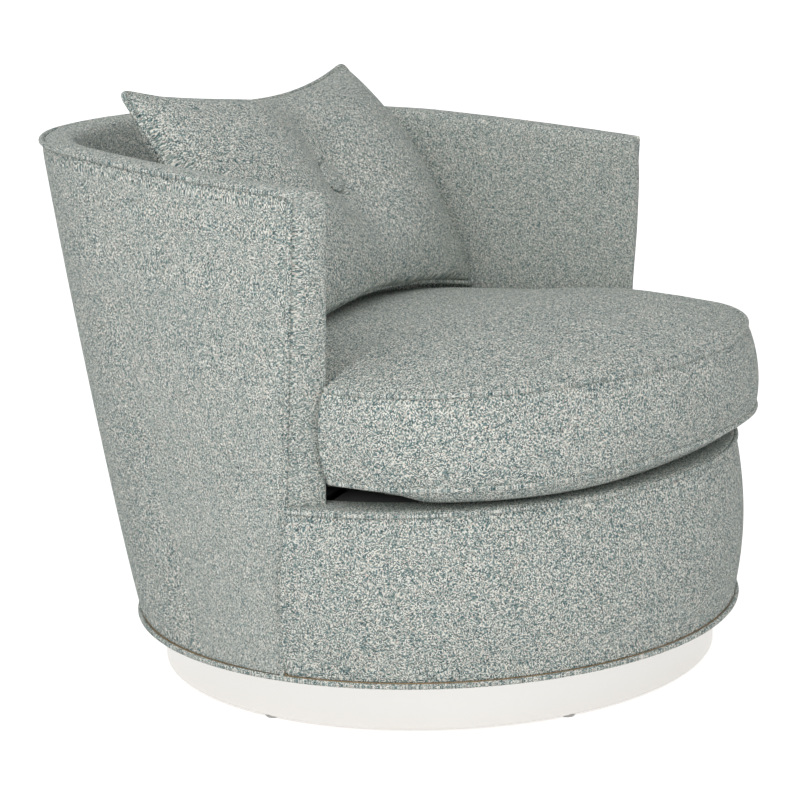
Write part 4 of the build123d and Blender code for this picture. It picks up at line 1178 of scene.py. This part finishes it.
def cushion_outline(side, front, level=0.5):
    """Plan of the cushion: back, flanks, ears and rounded front, anticlockwise from the back.

    side and front swell the flanks and the front; level is 0 at the lower seam and 1 at the upper.
    """
    lined = wall_arcs(low_level(SEAM_LOW), 1.0)
    lined[:, 2] += side - SIDE_GAP
    ear_y = EAR_Y + 0.35 * front
    end = degrees(acos((ear_y - lined[2][1]) / lined[2][2]))
    big, small = MIDDLE_ARC, SHOULDER_ARC
    step = big - small
    bow = asin((EAR_X - small * sin(radians(SHOULDER_END))) / step)
    middle_y = -BASE_RADIUS - FRONT_OVERHANG + big
    middle = (0.0, middle_y, big + front)
    shoulder = (-step * sin(bow), middle_y - step * cos(bow), small + front)
    start = front_points(shoulder, np.array([SHOULDER_END]), -1)[0]
    top_x = -start[0] + EAR_OUT
    corner = np.linspace(0.0, pi / 2, 11)
    left = [
        arc_points(lined[0], np.linspace(0.0, BACK_HEADING, 17)[:-1], -1),
        arc_points(lined[1], np.linspace(BACK_HEADING, CORNER_HEADING, 41)[:-1], -1),
        arc_points(lined[2], np.linspace(CORNER_HEADING, end, 21), -1),
    ]
    flank = left[-1][-1]
    turn = np.stack([-(top_x - EAR_ROUND + EAR_ROUND * np.sin(corner)),
                     ear_y + EAR_BACK - EAR_ROUND * (1 - np.cos(corner))], 1)
    # The ear's back edge runs square to the flank, then slants back beside the arm front.
    knee = np.array([-(top_x - KNEE_IN), ear_y])
    gap = np.linspace(0.0, 1.0, 5)[1:, None]
    left.append(flank + (knee - flank) * gap)
    left.append(knee + (turn[0] - knee) * gap[:-1])
    left.append(turn)
    left.append(turn[-1] + (start - turn[-1]) * np.linspace(0.0, 1.0, 4)[1:-1, None])
    left.append(front_points(shoulder, np.linspace(SHOULDER_END, degrees(bow), 45), -1))
    left.append(front_points(middle, np.linspace(degrees(bow), 0.0, 21)[1:], -1))
    half = np.concatenate(left)
    # The front is drawn in between its middle and its shoulders, more so at the top.
    inward = (0.0, HEART_Y) - half
    inward /= np.linalg.norm(inward, axis=1)[:, None]
    share = np.clip((abs(half[:, :1]) - DRAW_FROM) / DRAW_OVER, 0.0, 1.0)
    share = share * (half[:, 1:] < DRAW_FORWARD)
    half += inward * (DRAW_LOW + DRAW_MORE * level) * np.sin(pi * share)
    return np.concatenate([half, (half * (-1, 1))[::-1][1:-1]])


# Rings of the underside: sizes of the flat ones, then sizes and heights of those that turn up.
UNDERSIDE = 291.6
UNDER_SHARES = (0.10, 0.22, 0.34, 0.46, 0.57, 0.66, 0.74, 0.80)
UNDER_ROWS = ((0.835, 0.4), (0.865, 1.4), (0.89, 3.2), (0.912, 5.8), (0.932, 9.2), (0.95, 13.2),
              (0.965, 17.2), (0.978, 21.2), (0.990, 26.0))
# Rings of the top by their sizes; then the crown: sizes, and its height there as a share.
TOP_SHARES = (0.992, 0.983, 0.972, 0.958, 0.94, 0.92, 0.895, 0.865, 0.83, 0.79, 0.745, 0.70, 0.65,
              0.59, 0.53, 0.46, 0.38, 0.30, 0.21, 0.11)
TOP_AT = (0.0, 0.11, 0.30, 0.46, 0.59, 0.70, 0.79, 0.865, 0.92, 0.958, 0.983, 1.0)
TOP_RISE = (1.0, 0.995, 0.975, 0.93, 0.865, 0.765, 0.62, 0.45, 0.30, 0.19, 0.10, 0.0)
# Slope of the top, up towards the front and down towards the back; it fades out at the seam.
TOP_TILT = 0.045
# Rings of the boxing next to each seam, by their distance from it, where it is creased.
CREASES = (3.2, 4.6, 7.0)


def lifted_ears(ring):
    """The underside of the ears hangs free, at the height of the seam."""
    out = ring.copy()
    hang = SEAM_LOW - 5.0
    for side in (-1, 1):
        far = np.hypot(ring[:, 0] - side * EAR_X, ring[:, 1] - EAR_Y + 20.0)
        near = np.clip(1.25 - far / 85.0, 0.0, 1.0)
        near = near * near * (3 - 2 * near)
        out[:, 2] += (hang - ring[:, 2]) * near * (ring[:, 2] < hang)
    return out


def cushion_ring(z, side, front, share=1.0, tilt=0.0):
    """The cushion's outline at a height, shrunk to a share and tilted."""
    level = float(np.clip((z - SEAM_LOW) / (SEAM_HIGH - SEAM_LOW), 0.0, 1.0))
    plan = cushion_outline(side, front, level)
    y = plan[:, 1] - HEART_Y
    return np.stack([plan[:, 0] * share, HEART_Y + y * share, z + tilt * y * share], 1)


PUFF_FRAMES = 20


def puffed(obj, pinned, pressure, cap, voxel=0.0055):
    """Blow a closed body up with a cloth simulation, held where pinned says.

    cap is how far a point may move, and voxel the grain of a remesh before it, in metres.
    """
    scene = bpy.context.scene
    mesh_in = obj.data
    work = bpy.data.objects.new("puff_work", mesh_in.copy())
    scene.collection.objects.link(work)
    if voxel:
        remesh = work.modifiers.new("remesh", "REMESH")
        remesh.mode = "VOXEL"
        remesh.voxel_size = voxel
        remesh.use_smooth_shade = True
        graph = bpy.context.evaluated_depsgraph_get()
        remeshed = bpy.data.meshes.new_from_object(work.evaluated_get(graph))
        work.modifiers.clear()
        work.data = remeshed
    before = vectors(work.data.vertices)
    group = work.vertex_groups.new(name="held")
    group.add(np.nonzero(pinned(before))[0].tolist(), 1.0, "REPLACE")
    cloth = work.modifiers.new("cloth", "CLOTH")
    s = cloth.settings
    s.use_pressure = True
    s.uniform_pressure_force = pressure
    s.mass = 0.3
    s.quality = 6
    s.tension_stiffness = s.compression_stiffness = 15.0
    s.shear_stiffness = 5.0
    s.bending_stiffness = 2.0
    s.vertex_group_mass = "held"
    s.effector_weights.gravity = 0.0
    cloth.collision_settings.use_collision = False
    cloth.point_cache.frame_start, cloth.point_cache.frame_end = 1, PUFF_FRAMES
    for number in range(1, PUFF_FRAMES + 1):
        scene.frame_set(number)
    graph = bpy.context.evaluated_depsgraph_get()
    out = bpy.data.meshes.new_from_object(work.evaluated_get(graph))
    scene.frame_set(1)
    move = vectors(out.vertices) - before
    far = np.linalg.norm(move, axis=1)
    share = np.where(far > cap, cap / np.maximum(far, 1e-9), 1.0)
    put_points(out, before + move * share[:, None])
    bpy.data.objects.remove(work)
    obj.data = out
    out.name = obj.name
    bpy.data.meshes.remove(mesh_in)


# What holds still while the cushion is blown up, in metres: what lies this near its outline and
# this near the height of a seam, and what lies under this height.
HELD_EDGE, HELD_SEAM, HELD_UNDER = 0.012, 0.004, 0.2935


class CHAIR_OT_seat_cushion(bpy.types.Operator):
    """Crowned seat cushion with its boxing, blown up between the seams"""

    bl_idname = "chair.seat_cushion"
    bl_label = "Seat cushion"

    def execute(self, context):
        look = settings("cushion")
        crown, bulge, side = look.crown / MM, look.bulge / MM, look.side / MM
        draw = -CUSHION_WELT + 0.6
        low, high = SEAM_LOW, SEAM_HIGH
        rings = [cushion_ring(UNDERSIDE, draw, draw, share) for share in UNDER_SHARES]
        for share, rise in UNDER_ROWS:
            rings.append(lifted_ears(cushion_ring(UNDERSIDE + rise, draw, draw, share)))
        rings.append(cushion_ring(low, draw, draw))
        tall = high - low
        # The boxing swells between the seams, but its rings next to them are drawn in.
        for z in (*CREASES, *(tall * k / 14 for k in range(2, 13)),
                  *(tall - crease for crease in reversed(CREASES))):
            swell = sin(pi * z / tall) ** 0.6 if min(z, tall - z) > 4.0 else -0.15
            rings.append(cushion_ring(low + z, draw + side * swell, draw + bulge * swell))
        rings.append(cushion_ring(high, draw, draw))
        for share in TOP_SHARES:
            rise = crown * float(np.interp(share, TOP_AT, TOP_RISE))
            rings.append(
                cushion_ring(high + rise, draw, draw, share, -TOP_TILT * (1 - share**3)))
        verts, faces = ring_mesh(rings, (0.0, HEART_Y, high + crown),
                                 (0.0, HEART_Y, UNDERSIDE - 0.1))
        cushion = piece("seat_cushion_tweed", verts, faces, "seat_cushion", "cushion_tweed",
                        "cushion_cloth", ("seat_cushion",))
        outwards(cushion)
        seam = cushion_outline(draw, draw) * MM
        def pinned(p):
            near, _ = nearest_on(seam, p[:, :2])
            level = (abs(p[:, 2] - low * MM) < HELD_SEAM) | (
                abs(p[:, 2] - high * MM) < HELD_SEAM)
            return ((near < HELD_EDGE) & level) | (p[:, 2] < HELD_UNDER)

        puffed(cushion, pinned, pressure=3.0, cap=0.010)
        # Nothing of it may sink into the deck.
        points = vectors(cushion.data.vertices)
        points[:, 2] = np.maximum(points[:, 2], (UNDERSIDE - 0.2) * MM)
        put_points(cushion.data, points)
        lay_cushion_weave(cushion, seam)
        return {"FINISHED"}


def nearest_on(outline, points):
    """Distance of points in plan from a closed outline, and how far along it they are nearest."""
    line = np.concatenate([outline, outline[:1]])
    steps, runs = np.linalg.norm(np.diff(line, axis=0), axis=1), arc_length(line)
    best, around = np.full(len(points), 1e9), np.zeros(len(points))
    for i in range(len(outline)):
        a, ab = line[i], line[i + 1] - line[i]
        t = np.clip(((points - a) @ ab) / max(ab @ ab, 1e-12), 0, 1)
        gap = np.linalg.norm(points - (a + t[:, None] * ab), axis=1)
        closer = gap < best
        best[closer] = gap[closer]
        around[closer] = (runs[i] + t * steps[i])[closer]
    return best, around


def lay_cushion_weave(obj, outline):
    """Weave coordinates: in plan on the panels, round the edge on the boxing."""
    mesh = obj.data
    normal, centre = vectors(mesh.polygons, "normal"), vectors(mesh.polygons, "center")
    boxing = (centre[:, 2] > SEAM_LOW * MM) & (centre[:, 2] < SEAM_HIGH * MM)
    p = vectors(mesh.vertices)
    _, around = nearest_on(outline, p[:, :2])
    vertex = corner_points(mesh)
    totals = np.zeros(len(mesh.polygons), np.int32)
    mesh.polygons.foreach_get("loop_total", totals)
    of_face = np.repeat(np.arange(len(totals)), totals)
    q = p[vertex]
    flat = np.stack([q[:, 0], q[:, 1], np.where(normal[of_face, 2] > 0, 0.51, 0.57)], 1)
    side = np.stack([around[vertex], q[:, 2], np.full(len(q), 0.63)], 1)
    store_weave(mesh, np.where(boxing[of_face][:, None], side, flat))


class CHAIR_OT_cushion_trim(bpy.types.Operator):
    """Welts round the cushion's seams and the zipper across its back"""

    bl_idname = "chair.cushion_trim"
    bl_label = "Cushion welts and zipper"

    def execute(self, context):
        for name, z, level, node in (("top", SEAM_HIGH, 1.0, "cushion_top_welt"),
                                     ("bottom", SEAM_LOW, 0.0, "cushion_bottom_welt")):
            plan = cushion_outline(-1.0, -1.0, level)
            line = np.column_stack([plan, np.full(len(plan), z)])
            line = relaxed(resample(line, 4.5, closed=True), 8, closed=True)
            cord(f"cushion_{name}_welt_cord", line, CUSHION_WELT, "seat_cushion", (node,),
                 closed=True)
        self.zipper()
        return {"FINISHED"}

    def zipper(self):
        """Tape of two halves, which meet in a groove along its middle."""
        arc = wall_arcs(low_level(SEAM_LOW), 1.0)[0]
        arc = (arc[0], arc[1], arc[2] - SIDE_GAP)
        half = degrees(ZIPPER_LENGTH / 2 / arc[2])
        headings = np.linspace(-half, half, 61)
        middle = (SEAM_LOW + SEAM_HIGH) / 2
        # How far out and how far up, round the tape's section.
        profile = [(0.2, -3.5), (1.0, -3.3), (1.1, -0.9), (0.75, 0.0), (1.1, 0.9), (1.0, 3.3),
                   (0.2, 3.5)]
        rows = []
        for out, up in profile:
            plan = arc_points((arc[0], arc[1], arc[2] + out), headings, -1)
            rows.append(np.column_stack([plan, np.full(len(plan), middle + up)]))
        outwards(piece("zipper_tape", *strip_mesh(rows), "seat_cushion", "zipper_tape",
                       "zipper_tape", ("cushion_zipper",)))


# --- Pillow -------------------------------------------------------------------------------------
def pillow_frame():
    """Where the pillow lies: its centre, then its own x, y and normal."""
    turn, lean, roll = (radians(a) for a in (PILLOW_TURN, PILLOW_LEAN, PILLOW_ROLL))
    across = np.array([cos(turn), sin(turn), 0.0])
    ahead = np.array([sin(turn), -cos(turn), 0.0])
    normal = ahead * cos(lean) + np.array([0.0, 0.0, sin(lean)])
    up = np.cross(normal, across)
    x_dir = across * cos(roll) + up * sin(roll)
    return np.array(PILLOW_CENTRE), x_dir, np.cross(normal, x_dir), normal


# The higher, the sharper the corners.
CORNER_POWER = 40.0


def pillow_plan(x, y, grow=0.0):
    """Plan of points of a face, from shares of the half width and height; corners are rounded."""
    far = (abs(x) ** CORNER_POWER + abs(y) ** CORNER_POWER) ** (1 / CORNER_POWER)
    reach = np.maximum(abs(x), abs(y)) / np.maximum(far, 1e-9)
    x, y = x * reach, y * reach
    a = x * (PILLOW_WIDE + grow - PILLOW_SIDE_DRAW * (1 - y**2))
    draw = np.where(y > 0, PILLOW_TOP_DRAW, PILLOW_FOOT_DRAW)
    b = y * (PILLOW_HIGH + grow - draw * (1 - x**2))
    return np.stack([a, b], -1)


def pillow_outline(grow=0.0):
    """Seam of the pillow, anticlockwise from the bottom right corner."""
    s = np.linspace(-1.0, 1.0, 241)[:-1]
    one = np.ones(len(s))
    x = np.concatenate([one, -s, -one, s])
    y = np.concatenate([s, one, -s, -one])
    return pillow_plan(x, y, grow)


# Well round a button: its width, and the step down to the button's seat, from and over.
WELL_FLAT, WELL_WIDE = 20.0, 88.0
SEAT_DEEP, SEAT_FROM, SEAT_OVER = 7.0, 22.0, 9.0
# Folds round it: height, and the ring that they lie on.
FOLD_HIGH, FOLD_AT, FOLD_WIDE = 1.2, 52.0, 26.0
# The belly over the lower seam: how far it hangs, and the height that hangs in full.
BELLY, BELLY_FULL = 18.0, 28.0


def pillow_face(count, sign, thick, grow):
    """One face: a grid fitted to the outline, domed, and drawn in to its button."""
    s = np.sin(np.linspace(-pi / 2, pi / 2, count))
    x, y = np.meshgrid(s, s, indexing="ij")
    plan = pillow_plan(x, y, grow)
    height = thick * ((1 - x**2) * (1 - y**2)) ** 0.5
    r = np.linalg.norm(plan, axis=2)
    angle = np.arctan2(plan[..., 1], plan[..., 0])
    well = np.exp(-((np.maximum(r - WELL_FLAT, 0.0) / WELL_WIDE) ** 2))
    height -= (thick - BUTTON_FOOT - SEAT_DEEP) * well
    step = np.clip((r - SEAT_FROM) / SEAT_OVER, 0.0, 1.0)
    height -= SEAT_DEEP * (1.0 - step * step * (3.0 - 2.0 * step))
    folds = (np.cos(4 * angle + 0.6) + 0.6 * np.cos(7 * angle + 2.1 * sign)
             + 0.5 * np.cos(11 * angle + 1.3))
    height += FOLD_HIGH * folds * np.exp(-(((r - FOLD_AT) / FOLD_WIDE) ** 2))
    height = np.maximum(height, 0.0)
    if sign > 0:
        # The front sags over its lower seam, down to the cushion.
        low = np.clip((-y - 0.45) / 0.5, 0.0, 1.0) ** 2 * (1 - x**2) ** 0.5
        plan[..., 1] -= BELLY * low * np.minimum(height / BELLY_FULL, 1.0)
    return plan, height * sign


# How far the lower right corner of the pillow hangs, and over which part of its plan that grows.
FOOT_DROP, DROP_FROM, DROP_OVER, DROP_LOW = 21.0, 50.0, 380.0, 170.0


def foot_drop(a, b):
    """How far a point of the pillow hangs, from its place in the pillow's plan."""
    right = np.clip((a + DROP_FROM) / DROP_OVER, 0.0, 1.0)
    low = np.clip(-b / DROP_LOW, 0.0, 1.0)
    return FOOT_DROP * right ** 1.2 * low


class CHAIR_OT_pillow(bpy.types.Operator):
    """Knife-edge pillow, drawn in by a button front and back"""

    bl_idname = "chair.pillow"
    bl_label = "Pillow"

    def execute(self, context):
        look = settings("pillow")
        thick = look.plump / MM
        count = 81
        grow = -3.0
        centre, x_dir, y_dir, normal = pillow_frame()
        verts, faces, weave = [], [], []
        index = np.zeros((2, count, count), int)
        for k, sign in ((0, 1.0), (1, -1.0)):
            plan, height = pillow_face(count, sign, thick, grow)
            for i in range(count):
                for j in range(count):
                    edge = i in (0, count - 1) or j in (0, count - 1)
                    if k == 1 and edge:
                        index[1, i, j] = index[0, i, j]
                        continue
                    a, b = plan[i, j]
                    index[k, i, j] = len(verts)
                    verts.append(centre + a * x_dir + b * y_dir
                                 + (0.0 if edge else height[i, j]) * normal
                                 - (0.0, 0.0, foot_drop(a, b)))
                    weave.append((a, b, 0.71 + 0.04 * k))
            for i in range(count - 1):
                for j in range(count - 1):
                    quad = (index[k, i, j], index[k, i + 1, j], index[k, i + 1, j + 1],
                            index[k, i, j + 1])
                    faces.append(quad if sign > 0 else quad[::-1])
        pillow = piece("pillow_tweed", verts, faces, "pillow", "pillow_tweed", "pillow_cloth",
                       ("pillow",), weave)
        def pinned(p):
            local = p / MM - centre
            a, b, n = local @ x_dir, local @ y_dir, local @ normal
            edge = abs(n) < 1.2
            tuft = np.hypot(a, b) < 24.0
            return edge | tuft

        puffed(pillow, pinned, pressure=2.5, cap=0.008, voxel=0.0)
        finer = pillow.modifiers.new("finer", "SUBSURF")
        finer.levels = finer.render_levels = 1
        bake(pillow)
        return {"FINISHED"}


class CHAIR_OT_pillow_trim(bpy.types.Operator):
    """Welt round the pillow and its two covered buttons"""

    bl_idname = "chair.pillow_trim"
    bl_label = "Pillow welt and buttons"

    def execute(self, context):
        centre, x_dir, y_dir, normal = pillow_frame()
        plan = pillow_outline(-0.6)
        line = centre + plan[:, :1] * x_dir + plan[:, 1:] * y_dir
        line[:, 2] -= foot_drop(plan[:, 0], plan[:, 1])
        line = relaxed(resample(line, 4.0, closed=True), 3, closed=True)
        cord("pillow_welt_cord", line, PILLOW_WELT, "pillow", ("pillow_welt",), closed=True)
        # Radius and height over the button's seat, from its middle out and down its edge.
        profile = [(0.2, 9.0), (6.5, 8.9), (13.0, 8.6), (18.5, 8.0), (22.5, 6.9), (24.6, 5.0),
                   (24.6, 3.6), (21.5, 0.3)]
        verts, faces, weave = [], [], []
        n = 40
        turns = np.arange(n) * 2 * pi / n
        for sign in (1.0, -1.0):
            base = len(verts)
            for radius, height in profile:
                for turn in turns:
                    a, b = radius * cos(turn), radius * sin(turn)
                    out = sign * (BUTTON_FOOT + height)
                    verts.append(centre + a * x_dir + b * y_dir + out * normal)
                    weave.append((a, b, 0.83 + 0.02 * sign))
            faces += [tuple(base + v for v in f)
                      for f in grid_faces(len(profile), n, wrap=True)]
            faces.append(tuple(base + j for j in range(n)))
            faces.append(tuple(base + (len(profile) - 1) * n + j for j in reversed(range(n))))
        buttons = piece("pillow_buttons_covered", verts, faces, "pillow", "button_tweed",
                        "button_cloth", ("pillow_buttons",), weave)
        outwards(buttons)
        return {"FINISHED"}


OPERATORS = (
    CHAIR_OT_studio, CHAIR_OT_hidden_frame, CHAIR_OT_plinth_band, CHAIR_OT_outside_cover,
    CHAIR_OT_inside_cover, CHAIR_OT_front_border, CHAIR_OT_deck, CHAIR_OT_shell_welts,
    CHAIR_OT_seat_cushion, CHAIR_OT_cushion_trim, CHAIR_OT_pillow, CHAIR_OT_pillow_trim,
)
GROUPS = {
    "cloth": ClothSettings, "shell": ShellSettings, "cushion": CushionSettings,
    "pillow": PillowSettings, "metal": MetalSettings, "studio": StudioSettings,
}


class CHAIR_PT_pieces(bpy.types.Panel):
    """Sizes, colours and pieces of the chair"""

    bl_idname = "CHAIR_PT_pieces"
    bl_label = "Barrel chair"
    bl_space_type = "VIEW_3D"
    bl_region_type = "UI"
    bl_category = "Barrel Chair"

    def draw(self, context):
        for name, group in GROUPS.items():
            box = self.layout.box()
            box.label(text=name.capitalize())
            for key in group.__annotations__:
                box.prop(settings(name), key)
        for operator in OPERATORS:
            self.layout.operator(operator.bl_idname)


def register():
    for made in (*GROUPS.values(), *OPERATORS, CHAIR_PT_pieces):
        bpy.utils.register_class(made)
    for name, group in GROUPS.items():
        setattr(bpy.types.Scene, "chair_" + name, PointerProperty(type=group))


def unregister():
    for name in GROUPS:
        delattr(bpy.types.Scene, "chair_" + name)
    for made in reversed((*GROUPS.values(), *OPERATORS, CHAIR_PT_pieces)):
        bpy.utils.unregister_class(made)


def main():
    register()
    for operator in OPERATORS:
        name = operator.bl_idname.split(".")[1]
        if getattr(bpy.ops.chair, name)() != {"FINISHED"}:
            raise RuntimeError(f"{operator.bl_label} was not finished")


if __name__ == "__main__":
    main()
